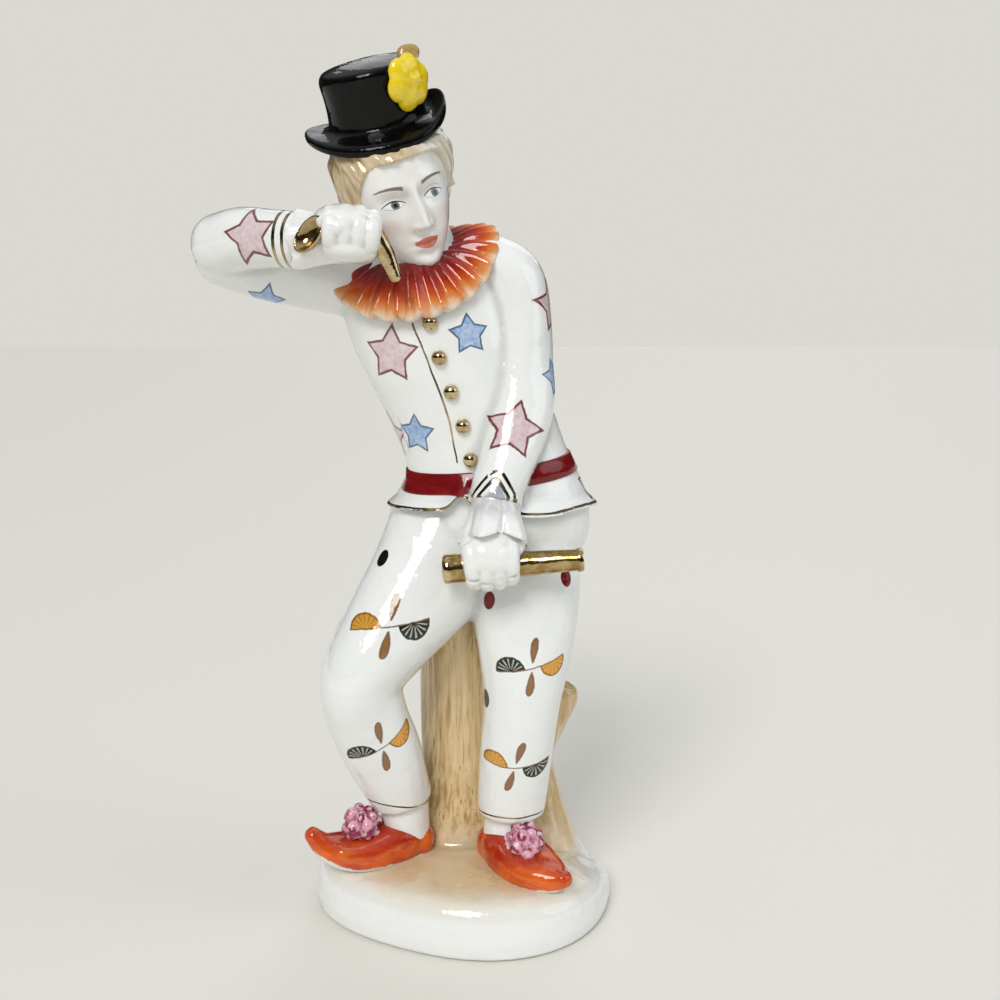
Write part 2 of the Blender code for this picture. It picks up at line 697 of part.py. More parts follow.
def flower():
    """A flower of rounded petals on the side of the crown, with a small leaf over its top."""
    place = hat_frame()
    out = Vector((math.cos(math.radians(-42)), math.sin(math.radians(-42)), 0.02))
    middle = place @ (out * (CROWN_RADIUS * 1.06) + Vector((0, 0, CROWN_HEIGHT * 0.70)))
    face = (place.to_3x3() @ out).normalized()
    upward = (place.to_3x3() @ Vector((0, 0, 1))).normalized()
    sideways = upward.cross(face).normalized()
    frame = Matrix((sideways, upward, face)).transposed()
    turn = [math.degrees(a) for a in frame.to_euler()]
    made = []
    for k in range(PETALS):
        a = 2 * math.pi * (k + 0.2) / PETALS
        spot = middle + (sideways * math.cos(a) * 4.4 + upward * math.sin(a) * 5.3) * SHARE
        made.append(ball("petal", spot + face * (0.2 + 0.5 * (k % 2)) * SHARE,
                         [3.3 * SHARE, 3.6 * SHARE, 2.3 * SHARE], turn))
    made.append(ball("flower_heart", middle + face * 1.9 * SHARE,
                     [2.6 * SHARE, 2.9 * SHARE, 2.0 * SHARE], turn))
    leaf = middle + (upward * 6.4 + sideways * 2.8 - face * 1.2) * SHARE
    made.append(ball("leaf", leaf, [3.8 * SHARE, 3.5 * SHARE, 2.4 * SHARE], turn))
    return made


# Fusing the forms into one casting


def porcelain():
    material = bpy.data.materials.new("glazed_porcelain")
    material.use_nodes = True
    shader = material.node_tree.nodes["Principled BSDF"]
    shader.inputs["Base Color"].default_value = GLAZE_WHITE
    shader.inputs["Roughness"].default_value = 0.12
    shader.inputs["Metallic"].default_value = 0.0
    return material


def evaluated_mesh(piece):
    graph = bpy.context.evaluated_depsgraph_get()
    return bpy.data.meshes.new_from_object(piece.evaluated_get(graph))


def fuse(forms):
    """Joins every form into one skin, softens it as glaze does, and cuts the underside flat."""
    bm = bmesh.new()
    for form in forms:
        placed = form.data.copy()
        placed.transform(form.matrix_world)
        bm.from_mesh(placed)
        bpy.data.objects.remove(form)
    bmesh.ops.triangulate(bm, faces=bm.faces)
    casting = mesh_object("clown_figurine", bm)
    skin = casting.modifiers.new("one_skin", "REMESH")
    skin.mode = "VOXEL"
    skin.voxel_size = FUSING_GRID
    glaze = casting.modifiers.new("glaze", "SMOOTH")
    glaze.factor = 0.5
    glaze.iterations = 3
    casting.data = evaluated_mesh(casting)
    casting.modifiers.clear()

    thin = casting.modifiers.new("thin_out", "DECIMATE")
    casting.data.calc_loop_triangles()
    thin.ratio = min(1.0, MOST_TRIANGLES / len(casting.data.loop_triangles))

    bpy.ops.mesh.primitive_cube_add(size=1)
    table = bpy.context.object
    table.name = "table_plane"
    table.scale = (4 * MOUND_WIDTH, 4 * MOUND_DEPTH, MOUND_HEIGHT)
    table.location.z = -MOUND_HEIGHT / 2
    table.hide_render = True
    table.display_type = "WIRE"
    flat = casting.modifiers.new("flat_underside", "BOOLEAN")
    flat.operation = "DIFFERENCE"
    flat.object = table
    casting.data.materials.clear()
    casting.data.materials.append(porcelain())
    casting.data.shade_smooth()
    return casting, table


def collect(name, *objects):
    group = bpy.data.collections.new(name)
    bpy.context.scene.collection.children.link(group)
    for item in objects:
        for holder in item.users_collection:
            holder.objects.unlink(item)
        group.objects.link(item)


def build():
    for old in list(bpy.data.objects):
        bpy.data.objects.remove(old)
    forms = [mound(), torso(), jacket_skirt(), sash(), collar(), hat()]
    for group in (stump(), trousers(), shoes(), sleeves(), buttons(), hands(), batons(), head(),
                  flower()):
        forms += group
    bpy.context.view_layer.update()
    casting, table = fuse(forms)
    collect("clown_figurine", casting)
    collect("cutters", table)


build()
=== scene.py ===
"""The porcelain clown as it leaves the decorating bench: cast, glazed, painted and gilded.

Units are metres, +Z is up and the clown looks towards -Y. Places on the figure are written in
millimetres from the middle of the mound, with heights counted from the mound's top.
"""

from math import atan2, copysign, cos, degrees, exp, hypot, pi, radians, sin, sqrt

import bmesh
import bpy
import numpy as np
from mathutils import Euler, Matrix, Vector, noise
from mathutils.bvhtree import BVHTree


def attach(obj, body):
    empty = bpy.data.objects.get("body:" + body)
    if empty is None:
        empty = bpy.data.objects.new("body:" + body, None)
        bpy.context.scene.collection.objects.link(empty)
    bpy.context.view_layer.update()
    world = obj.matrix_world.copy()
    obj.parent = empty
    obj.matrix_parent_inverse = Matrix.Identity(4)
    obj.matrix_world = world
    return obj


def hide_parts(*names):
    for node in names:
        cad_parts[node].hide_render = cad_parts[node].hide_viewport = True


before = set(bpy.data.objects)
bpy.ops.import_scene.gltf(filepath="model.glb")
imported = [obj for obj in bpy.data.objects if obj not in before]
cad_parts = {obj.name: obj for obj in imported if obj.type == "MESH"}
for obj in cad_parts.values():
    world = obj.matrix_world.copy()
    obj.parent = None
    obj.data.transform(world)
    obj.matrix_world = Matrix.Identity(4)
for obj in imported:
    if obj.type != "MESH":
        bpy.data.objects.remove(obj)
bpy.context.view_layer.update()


# The mound and the tree stump. They are the foot of the casting: white porcelain, glazed all
# over, with a beige wash on top of the mound and brown strokes up the bark.

MM = 0.001
FRONT = Vector((0, -1, 0))
MOUND_WIDTH = 0.098
MOUND_DEPTH = 0.084
MOUND_HEIGHT = 0.018
MOUND_EDGE_RADIUS = 0.0075
MOUND_TOP = MOUND_HEIGHT / MM
# A rounded end or edge is cut into these angles
ROUNDING = (0.35, 0.7, 1.05, 1.35)


def at(x, y, z):
    return Vector((x * MM, y * MM, MOUND_HEIGHT + z * MM))


def set_at(spot, turn):
    """The frame of a form set down at a spot and turned by degrees about x, y and z."""
    return Matrix.Translation(spot) @ Euler(map(radians, turn)).to_matrix().to_4x4()


def new_piece(name, bm):
    bmesh.ops.recalc_face_normals(bm, faces=bm.faces)
    mesh = bpy.data.meshes.new(name)
    bm.to_mesh(mesh)
    bm.free()
    made = bpy.data.objects.new(name, mesh)
    bpy.context.scene.collection.objects.link(made)
    return made


def smooth_path(values, steps):
    """Catmull-Rom through rows of numbers, with this many steps between two rows."""
    rows = np.array(values, float)
    rows = np.vstack([2 * rows[0] - rows[1], rows, 2 * rows[-1] - rows[-2]])
    found = []
    for i in range(1, len(rows) - 2):
        a, b, c, d = rows[i - 1 : i + 3]
        for t in np.arange(steps) / steps:
            found.append(
                0.5 * (2 * b + (c - a) * t + (2 * a - 5 * b + 4 * c - d) * t**2
                       + (3 * b - a - 3 * c + d) * t**3)
            )
    found.append(rows[-2])
    return np.array(found)


def ring_body(name, rows, count, spot, closed=False):
    """A body over one ring of points for each row, which spot(row, turn) gives. Each end is
    closed by a fan, or the last ring is joined to the first."""
    bm = bmesh.new()
    made = [[bm.verts.new(spot(row, 2 * pi * k / count)) for k in range(count)] for row in rows]
    for low, high in list(zip(made, made[1:])) + ([(made[-1], made[0])] if closed else []):
        for i in range(count):
            j = (i + 1) % count
            bm.faces.new((low[i], low[j], high[j], high[i]))
    for ring in () if closed else (made[0], made[-1]):
        middle = bm.verts.new(sum((v.co for v in ring), Vector()) / count)
        for i in range(count):
            bm.faces.new((ring[i], ring[(i + 1) % count], middle))
    return new_piece(name, bm)


def limb(name, stations, steps=6, front=FRONT, rounded=(True, True), ripple=None, square=1.0):
    """A tapering body along a path. A station is x, y, z, half width and half depth, in mm."""
    rows = smooth_path([s if len(s) == 5 else (*s, s[-1]) for s in stations], steps)
    centres = [at(*row[:3]) for row in rows]
    last = len(rows) - 1
    rings = []
    for i, (centre, row) in enumerate(zip(centres, rows)):
        along = (centres[min(i + 1, last)] - centres[max(i - 1, 0)]).normalized()
        side = along.cross(front).normalized()
        deep = side.cross(along).normalized()
        ends = [(sin(a), -cos(a)) for a in ROUNDING] if i == 0 and rounded[0] else []
        ends += [(1.0, 0.0)]
        if i == last and rounded[1]:
            ends += [(sin(a), cos(a)) for a in reversed(ROUNDING)]
        for swell, shift in ends:
            middle = centre + along * shift * min(row[3] * MM, row[4] * MM) * 0.9
            rings.append((middle, side, deep, row[3] * MM, row[4] * MM, i / last, swell))

    def spot(ring, turn):
        middle, side, deep, wide, thick, share, swell = ring
        more = ripple(turn, share) * MM if ripple else 0
        across, through = cos(turn), sin(turn)
        return (middle + side * copysign(abs(across) ** square, across) * (wide + more) * swell
                + deep * copysign(abs(through) ** square, through) * (thick + more) * swell)

    return ring_body(name, rings, 40, spot)


def plain_mesh(piece):
    """Applies a piece's modifiers to its mesh."""
    graph = bpy.context.evaluated_depsgraph_get()
    piece.data = bpy.data.meshes.new_from_object(piece.evaluated_get(graph))
    piece.modifiers.clear()


def slip(name, forms, grid, soften=5):
    """Fuses forms into one skin on a grid in mm, as wet clay and glaze do, and notes on every
    vertex how far it lies in a crease, where glaze and dust gather and where the painting
    darkens the colour as a painted shade."""
    bm = bmesh.new()
    for form in forms:
        form.data.transform(form.matrix_world)
        bm.from_mesh(form.data)
        bpy.data.objects.remove(form)
    bmesh.ops.triangulate(bm, faces=bm.faces)
    piece = new_piece(name, bm)
    skin = piece.modifiers.new("one_skin", "REMESH")
    skin.mode = "VOXEL"
    skin.voxel_size = grid * MM
    glaze = piece.modifiers.new("glaze", "SMOOTH")
    glaze.factor = 0.5
    glaze.iterations = soften
    plain_mesh(piece)
    note_creases(piece, grid)
    return piece


def vertex_rows(mesh, what):
    rows = np.empty(len(mesh.vertices) * 3)
    mesh.vertices.foreach_get(what, rows)
    return rows.reshape(-1, 3)


def note(mesh, name, values):
    """Writes a number or a vector on every vertex, for the painting to read."""
    kind, key = ("FLOAT_VECTOR", "vector") if np.ndim(values) == 2 else ("FLOAT", "value")
    mesh.attributes.new(name, kind, "POINT").data.foreach_set(key, np.ravel(values))


def note_creases(piece, grid):
    mesh = piece.data
    place = vertex_rows(mesh, "co")
    count = len(place)
    edges = np.empty(len(mesh.edges) * 2, int)
    mesh.edges.foreach_get("vertices", edges)
    a, b = edges.reshape(-1, 2).T
    links = np.bincount(np.concatenate((a, b)), minlength=count)[:, None]

    def spread(values):
        total = [np.bincount(a, row[b], count) + np.bincount(b, row[a], count) for row in values.T]
        return np.column_stack(total) / np.maximum(links, 1)

    smooth = place
    for _ in range(6):
        smooth = spread(smooth)
    depth = ((smooth - place) * vertex_rows(mesh, "normal")).sum(1)[:, None]
    for _ in range(3):
        depth = spread(depth)
    full_crease = 0.22 * grid * MM
    note(mesh, "crease", np.clip(depth[:, 0] / full_crease, 0, 1))
    mesh.shade_smooth()


def mound_reach(turn):
    oval = 0.015 * cos(turn) + 0.038 * cos(2 * turn + 1.0)
    return 1 + oval + 0.023 * cos(3 * turn - 2.7) + 0.016 * cos(4 * turn - 1.7)


def mound_fall(turn):
    away = (turn - radians(28) + pi) % (2 * pi) - pi
    return exp(-((away / radians(50)) ** 2))


def mound():
    """An uneven oval slab with a rounded edge, which sinks on one side."""
    flat = MOUND_HEIGHT - MOUND_EDGE_RADIUS
    profile = [(0.97, 0.0001, 0), (1.0, 0.0010, 0), (1.01, flat * 0.5, 0.3), (1.0, flat, 0.5)]
    for a in (0.35, 0.7, 1.05, 1.4):
        inset = MOUND_EDGE_RADIUS * (1 - cos(a)) / (MOUND_WIDTH / 2)
        profile.append((1 - inset, flat + MOUND_EDGE_RADIUS * sin(a), 0.5))
    for share, rise, fall in ((0.78, 0.02, 0.3), (0.6, 0.06, 0.1), (0.4, 0.10, 0), (0.2, 0.12, 0)):
        profile.append((share, MOUND_HEIGHT * (1 + rise), fall))

    def spot(row, turn):
        span = row[0] * mound_reach(turn)
        return Vector((MOUND_WIDTH / 2 * span * cos(turn), MOUND_DEPTH / 2 * span * sin(turn),
                       row[1] * (1 - row[2] * mound_fall(turn))))

    return ring_body("mound", profile, 96, spot)


def bark(turn, along):
    wander = 0.5 * sin(5 * along)
    spot = (3.1 * cos(turn + wander), 3.1 * sin(turn + wander), along)
    fine = (9 * cos(turn + wander), 9 * sin(turn + wander), 4 * along)
    return 0.75 * noise.noise(spot) + 0.5 * noise.noise(fine)


trunk = [(-1, 11, -6, 25, 21), (-1, 12, 3, 20, 17.5), (-2, 13, 14, 15.5, 14.5),
         (-2, 14, 30, 13.6, 13), (-2, 14, 60, 13.2, 12.6), (1, 12, 90, 13.6, 12),
         (6, 9, 106, 13, 11)]
cut_branch = [(20, 10, -8, 25, 20), (21, 12, 3, 17.5, 15), (22, 14, 16, 11.5, 11),
              (23, 15, 28, 8.4, 9.5), (27, 16, 39, 8.2, 8.6), (32, 16, 49, 8.0, 7.8),
              (33.5, 16, 53, 6.0, 6.4)]
foot = slip("mound_and_stump", [mound(), limb("trunk", trunk, ripple=bark),
            limb("cut_branch", cut_branch, ripple=bark, rounded=(True, False))], 0.75, 4)
for v in foot.data.vertices:
    v.co.z = max(v.co.z, 0.0)


class Field:
    """A number that varies over a painted surface, so that a shader's sums can be written out."""

    def __init__(self, tree, socket):
        self.tree = tree
        self.socket = socket

    def sum(self, operation, *others, clamp=False):
        node = self.tree.nodes.new("ShaderNodeMath")
        node.operation = operation
        node.use_clamp = clamp
        for place, value in enumerate((self, *others)):
            join(self.tree, value, node.inputs[place])
        return Field(self.tree, node.outputs[0])

    def __add__(self, other):
        return self.sum("ADD", other)

    def __sub__(self, other):
        return self.sum("SUBTRACT", other)

    def __mul__(self, other):
        return self.sum("MULTIPLY", other)

    def __truediv__(self, other):
        return self.sum("DIVIDE", other)

    __radd__ = __add__
    __rmul__ = __mul__

    def __rsub__(self, other):
        return (self * -1) + other

    def __pow__(self, other):
        return self.sum("POWER", other)

    def abs(self):
        return self.sum("ABSOLUTE")

    def squared(self):
        return self * self

    def capped(self):
        """No more than 1."""
        return self.sum("MINIMUM", 1.0)

    def below(self, limit, soft):
        """1 under the limit and 0 over it, with a soft edge."""
        return ((limit - self) / soft).sum("ADD", 0.5, clamp=True)

    def above(self, limit, soft):
        return ((self - limit) / soft).sum("ADD", 0.5, clamp=True)

    def either(self, other):
        return self.sum("MAXIMUM", other)


def join(tree, value, socket):
    if isinstance(value, Field):
        value = value.socket
    if isinstance(value, bpy.types.NodeSocket):
        tree.links.new(value, socket)
    else:
        socket.default_value = value


def put(tree, kind, settings=(), **values):
    """Adds a node and joins its inputs, which are named without spaces."""
    node = tree.nodes.new(kind)
    for name, value in dict(settings).items():
        setattr(node, name, value)
    for name, value in values.items():
        join(tree, value, next(s for s in node.inputs if s.enabled and s.name.replace(" ", "") == name))
    return node.outputs


def blend(tree, share, under, over):
    """One colour laid over another."""
    node = tree.nodes.new("ShaderNodeMix")
    node.data_type = "RGBA"
    for socket, value in zip((0, 6, 7), (share, under, over)):
        join(tree, value, node.inputs[socket])
    return node.outputs[2]


class Surface:
    """What a paint is laid on: the surface's own place in mm, and its colour so far."""

    rough = 0.0

    def __init__(self, tree, colour=None, metal=0.0, coat=0.5):
        self.tree, self.colour, self.metal, self.coat = tree, colour, metal, coat
        spot = put(tree, "ShaderNodeTexCoord")["Object"]
        self.spot = put(tree, "ShaderNodeVectorMath", {"operation": "SCALE"},
                        Vector=spot, Scale=1000.0)[0]
        self.place = self.parts(self.spot)

    def parts(self, vector):
        axes = put(self.tree, "ShaderNodeSeparateXYZ", Vector=vector)
        return [Field(self.tree, axis) for axis in axes]

    def cloud(self, scale, stretch=(1, 1, 1), detail=3.0, rough=0.55, spot=None):
        spot = self.spot if spot is None else spot
        moved = put(self.tree, "ShaderNodeMapping", Vector=spot, Scale=stretch)[0]
        made = put(self.tree, "ShaderNodeTexNoise", Vector=moved, Scale=scale, Detail=detail,
                   Roughness=rough)
        return Field(self.tree, made[0])

    def noted(self, name, kind="Vector"):
        return put(self.tree, "ShaderNodeAttribute", {"attribute_name": name})[kind]

    def number(self, name):
        return Field(self.tree, self.noted(name, "Fac"))

    def over(self, share, paint):
        """Lays a colour over what is there."""
        self.colour = blend(self.tree, share, self.colour, paint)


def node_group(name, kind, inputs, outputs):
    tree = bpy.data.node_groups.new(name, kind + "NodeTree")
    for way, sockets in (("INPUT", inputs), ("OUTPUT", outputs)):
        for label, what, *start in sockets:
            socket = tree.interface.new_socket(label, in_out=way, socket_type="NodeSocket" + what)
            if start:
                socket.default_value = start[0]
    return tree, tree.nodes.new("NodeGroupInput").outputs, tree.nodes.new("NodeGroupOutput").inputs


def make_glaze_skin():
    """What every glazed surface shares: slow ripples left by the dip, glaze pooled in creases
    with a painted shade darkening them, pinholes, and a faint unevenness of tone and gloss."""
    tree, given, out = node_group(
        "glaze_skin", "Shader",
        [("Paint", "Color", (0.8, 0.8, 0.8, 1)), ("Gloss", "Float", 0.08),
         ("Pooling", "Float", 0.5), ("Ripple", "Float", 1.0)],
        [("Color", "Color"), ("Roughness", "Float"), ("Height", "Float")])
    skin = Surface(tree, given["Paint"])
    pins = skin.cloud(2.3, detail=1.0).above(0.77, 0.03) * given["Pooling"] * 1.5
    crease = skin.number("crease") * given["Pooling"]
    tone = (skin.cloud(0.09, detail=2.0) - 0.4).sum("MULTIPLY", 0.35, clamp=True)
    # A random unevenness of tone, then a darker colour in the creases: glaze pooled there, and a painted
    # shade
    for share, fullness, light in ((tone, 1.15, 0.93), (crease, 1.5, 0.60)):
        skin.over(share, put(tree, "ShaderNodeHueSaturation", Hue=0.5, Saturation=fullness,
                             Value=light, Color=given["Paint"])[0])
    skin.over(pins * 0.35, (0.20, 0.16, 0.12, 1))
    join(tree, skin.colour, out["Color"])
    rough = Field(tree, given["Gloss"]) + skin.cloud(1.6, detail=4.0) * 0.05
    join(tree, rough + crease * 0.12 + pins * 0.2, out["Roughness"])
    ripple = skin.cloud(0.16, detail=2.0, rough=0.4) * 1.6 + skin.cloud(0.6, detail=1.0) * 0.25
    join(tree, ripple * given["Ripple"] - pins * 0.3, out["Height"])
    return tree


glaze_skin = make_glaze_skin()


def glazed(name, paint, gloss=0.05, pooling_and_shade=0.45, ripple=1.0, metal=0.0, coat=0.5):
    """A fired material. Its colour is given outright, or paint(surface) lays it on."""
    material = bpy.data.materials.new(name)
    material.use_nodes = True
    tree = material.node_tree
    shader = tree.nodes["Principled BSDF"].inputs
    skin = tree.nodes.new("ShaderNodeGroup")
    skin.node_tree = glaze_skin
    painted = Surface(tree, paint, metal, coat)
    if callable(paint):
        paint(painted)
    for label, value in (("Paint", painted.colour), ("Gloss", gloss), ("Pooling", pooling_and_shade),
                         ("Ripple", ripple)):
        join(tree, value, skin.inputs[label])
    bump = put(tree, "ShaderNodeBump", Strength=0.5, Distance=0.0006, Height=skin.outputs["Height"])
    for label, value in (("Base Color", skin.outputs["Color"]), ("Normal", bump[0]),
                         ("Roughness", Field(tree, skin.outputs["Roughness"]) + painted.rough),
                         ("Metallic", painted.metal), ("IOR", 1.5),
                         ("Coat Weight", painted.coat), ("Coat Roughness", 0.03)):
        join(tree, value, shader[label])
    return material


def dress(piece, material=None):
    """Every piece of the casting rides on the one body and stands for the one solid."""
    if material:
        piece.data.materials.clear()
        piece.data.materials.append(material)
    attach(piece, "root")
    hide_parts("clown_figurine")


WHITE = (0.83, 0.845, 0.83, 1)
BEIGE = (0.62, 0.48, 0.29, 1)
RAW_WOOD = (0.76, 0.59, 0.34, 1)
TAN = (0.63, 0.43, 0.19, 1)
OLIVE = (0.25, 0.14, 0.045, 1)


def mound_wash(skin):
    x, y, z = skin.place
    drift = skin.cloud(0.05, detail=2.0)
    reach = (x - 5).squared() / 2600 + (y + 6).squared() / 1500
    top = z.above(15.0, 7.0) * (reach + drift * 0.5).below(1.05, 0.85)
    streak = skin.cloud(0.42, stretch=(1, 1, 0.07), detail=5.0, rough=0.65)
    thin = skin.cloud(1.2, stretch=(1, 1, 0.022), detail=4.0, rough=0.6)
    climb = (z + drift * 16 - 8).above(23.5, 9.0)
    skin.colour = WHITE
    skin.over(top * (0.55 + drift * 0.9).capped(), BEIGE)
    skin.over(climb, blend(skin.tree, streak.above(0.5, 0.3), RAW_WOOD, TAN))
    # The strokes thicken towards the trunk's left and right sides: a painted shade on the sides of the
    # trunk
    edge = ((x + 2) / 13.5).squared().capped()
    strokes = ((streak + edge * 0.10).above(0.57, 0.12) * 0.55).either(thin.above(0.61, 0.06) * 0.7)
    branch = x.below(17.5, 3.0) * 0.75 + 0.25
    skin.over(strokes * climb * branch, OLIVE)
    skin.rough = climb * 0.05


dress(foot, glazed("glazed_mound", mound_wash, gloss=0.07, pooling_and_shade=0.55))


# The costume: trousers, jacket and both sleeves, cast with the body under them. It is white
# porcelain under clear glaze, with stars, spots and fans in enamel, and thin gilt lines.

torso = [(10, 3, 90, 18, 14), (11, 2, 106, 29, 19), (11, 1.5, 117, 30.5, 20.5),
         (8.4, 1, 131, 26.6, 18.2), (5, 1, 143, 25.4, 17.4), (0, 0.5, 155, 25, 17.6),
         (-6, 0, 169, 25.6, 18.2), (-10.5, 0, 181, 26.6, 17.4), (-12.4, 0, 190, 26, 15.4),
         (-13, 0, 197, 20, 12.4), (-13.2, -1, 203, 11, 10)]
WAIST = 3  # the torso's station at the waist
right_leg = [(-1, 1, 111, 24, 17), (-11.5, -5, 95, 19.8, 17), (-23, -12.5, 80, 16.0, 15.5),
             (-32, -18, 66.5, 13.4, 13.8), (-31.2, -16, 54, 12.8, 12.8), (-26, -11, 38, 12.6, 12),
             (-21.5, -6.5, 23, 10.6, 10.6), (-20.6, -6, 19.5, 10.2, 10.2)]
left_leg = [(20, 1, 110, 19, 17), (20.5, -4, 89, 18, 16.5), (20.4, -9, 72, 15.4, 14.5),
            (19.4, -11, 56, 12.6, 12.8), (17.6, -10, 38, 12.0, 12.2), (16.2, -8.5, 22, 11.5, 11.3),
            (16.0, -8.2, 17, 11.2, 11.0)]
raised_upper = [(-22, 2, 187, 12, 13), (-36, 1.5, 190, 10.8, 11), (-52, 1, 193, 9.8),
                (-66, -1, 195.5, 9.6), (-75, -4, 198.5, 9.4)]
raised_fore = [(-74.5, -7, 201.5, 9.8), (-66, -12, 203, 9.6), (-57, -16.5, 202.6, 8.8),
               (-46.5, -20.8, 201.8, 8.3)]
hanging = [(8, 1, 194.6, 11.5, 11.5), (14.8, 0.5, 190, 12), (17.6, -1, 178, 11.2),
           (18.6, -4, 164, 10.4), (18.8, -8, 152, 10.2), (15.8, -14.5, 139, 9.2),
           (11.8, -20, 127.6, 8.3), (10.8, -22.4, 122.2, 8.2)]


def waist_frame():
    middle = at(*torso[WAIST][:3]) - Vector((0.5 * MM, 0, 0))
    up = Vector((-0.11, -0.12, 1)).normalized()
    across = up.cross(FRONT).normalized()
    return middle, across, across.cross(up).normalized(), up


def hem_point(turn, inset=0.0):
    wave = 0.7 * cos(5 * turn + 0.4) - inset
    low = at(9.8 + cos(turn) * (34.2 + wave), 0.6 - sin(turn) * (23.4 + wave), 119.6)
    away = turn - radians(106)
    low.z += 5.0 * MM * exp(-((away / (0.12 if away > 0 else 0.075)) ** 2))
    low.z -= 1.5 * MM * exp(-(((turn - radians(62)) / 0.35) ** 2))
    low.x -= 1.6 * MM * max(-cos(turn), 0) ** 3
    return low


def jacket_skirt():
    middle, across, deep, up = waist_frame()
    wide, thick = torso[WAIST][3:]
    profile = ((-0.2, -0.4), (0, -0.05), (0.3, 0.12), (0.6, 0.40), (0.85, 0.78), (1.0, 1.0),
               (1.06, 0.97), (1.05, 0.80), (0.9, 0.45))

    def spot(row, turn):
        drop, flare = row
        top = middle + across * cos(turn) * wide * MM + deep * sin(turn) * thick * MM
        low = hem_point(turn)
        return Vector((top.x + (low.x - top.x) * flare, top.y + (low.y - top.y) * flare,
                       top.z + (low.z - top.z) * drop))

    return ring_body("jacket_skirt", profile, 160, spot)


def cloth_folds(turn, along):
    """Soft pulls in the cloth round a bent arm or knee."""
    return 0.55 * sin(3 * turn + 9 * along) * exp(-(((along - 0.55) / 0.28) ** 2))


costume = slip("costume", [
    limb("torso", torso), jacket_skirt(),
    limb("right_leg", right_leg, rounded=(True, False), ripple=cloth_folds),
    limb("left_leg", left_leg, rounded=(True, False)),
    limb("right_ankle", [(-20.5, -6, 21, 8.6), (-19, -5.6, 8, 7.6)]),
    limb("left_ankle", [(15.8, -8.4, 19, 8.8), (14.2, -9.6, 8, 7.8)]),
    limb("raised_upper_sleeve", raised_upper, ripple=cloth_folds),
    limb("raised_fore_sleeve", raised_fore, rounded=(True, False)),
    limb("hanging_sleeve", hanging, rounded=(True, False), ripple=cloth_folds),
], 0.8, 6)

PINK_STAR, BLUE_STAR, DARK_SPOT, RED_SPOT, GOLD_LEFT_FAN, DARK_LEFT_FAN = range(1, 7)
# Kind, place, half size in mm and turn to the right in degrees
decorations = [
    (PINK_STAR, (-62, -23.7, 202.9), 8.4, -9), (PINK_STAR, (-21.4, -14.8, 168.1), 8.8, 5),
    (PINK_STAR, (16.5, -21.5, 145.8), 9.0, 16), (PINK_STAR, (28.4, -2.0, 183.3), 8.6, -6),
    (PINK_STAR, (43.0, 2.0, 126.6), 6.6, 10), (PINK_STAR, (-24.5, -1.5, 141.5), 8.0, 20),
    (BLUE_STAR, (2.7, -16.6, 174.2), 6.2, -6), (BLUE_STAR, (-14.2, -11.6, 143.2), 6.4, 4),
    (BLUE_STAR, (29.0, -7.0, 160.6), 6.0, -4), (BLUE_STAR, (-61.8, -4.4, 184.4), 6.0, 30),
    (DARK_SPOT, (-25.0, -14.5, 103.9), 3.4, 0), (RED_SPOT, (8.6, -16.4, 90.6), 3.4, 8),
    (RED_SPOT, (33.2, -14.1, 97.4), 3.4, -8), (DARK_SPOT, (8.0, -15.4, 58.1), 3.6, 0),
    (GOLD_LEFT_FAN, (-21.8, -26.9, 85.1), 12.6, -7), (DARK_LEFT_FAN, (-24.5, -26.1, 45.0), 11.2, -33),
    (DARK_LEFT_FAN, (22.4, -23.3, 70.7), 11.2, -13), (GOLD_LEFT_FAN, (17.0, -22.2, 37.3), 10.8, -2),
    # The back is decorated more sparely
    (PINK_STAR, (-18, 18, 172), 8.6, 12), (BLUE_STAR, (4, 18, 156), 6.2, -8),
    (PINK_STAR, (-56, 10, 192), 7.4, 40), (BLUE_STAR, (2, 18, 189), 5.6, 10),
    (PINK_STAR, (14, 18, 143.5), 6.4, -10), (DARK_LEFT_FAN, (33, 10, 92), 10.6, -15),
    (GOLD_LEFT_FAN, (-40, -6, 68), 10.6, 20), (RED_SPOT, (24, 14, 105), 3.4, 0),
    (DARK_SPOT, (-14, 14, 98), 3.4, 0), (RED_SPOT, (-43, -14, 84), 3.2, 0),
]


def trace_ring(centre, along, reach):
    """The closed line where a plane through a limb cuts the costume, found from outside."""
    side = along.orthogonal().normalized()
    deep = along.cross(side)
    found = []
    for k in range(73):
        turn = 2 * pi * k / 72
        out = (side * cos(turn) + deep * sin(turn)) * reach * MM
        found.append(cloth.ray_cast(centre + out, -out)[0] or centre)
    return found


cloth = BVHTree.FromObject(costume, bpy.context.evaluated_depsgraph_get())
front_edge = [(-14.8, -17.2, 179), (-14.0, -17.4, 176), (-11.6, -17.7, 170), (-9.0, -17.7, 163.3),
              (-6.6, -17.1, 156.9), (-4.8, -16.6, 151.6), (-3.3, -16, 146), (-2.1, -15.5, 139.7),
              (-1.2, -15.7, 134.4)]
cuff_v = [(4.0, -24.6, 123.6), (6.0, -26.5, 127.2), (8.0, -27.3, 130.2), (9.2, -27.6, 131.8),
          (9.9, -27.6, 132.3), (11.6, -27.5, 132.6), (12.2, -27.4, 132.0), (13.4, -27.2, 129.4),
          (14.8, -27.0, 126.2), (16.2, -26.6, 122.2)]


def snapped(points, steps=6):
    rows = smooth_path(points, steps)
    return [cloth.find_nearest(at(*row))[0] for row in rows]


def hem_line():
    found = []
    for k in range(241):
        turn = 2 * pi * k / 240
        found.append(cloth.find_nearest(hem_point(turn, 0.2) + Vector((0, 0, 0.0011)))[0])
    return found


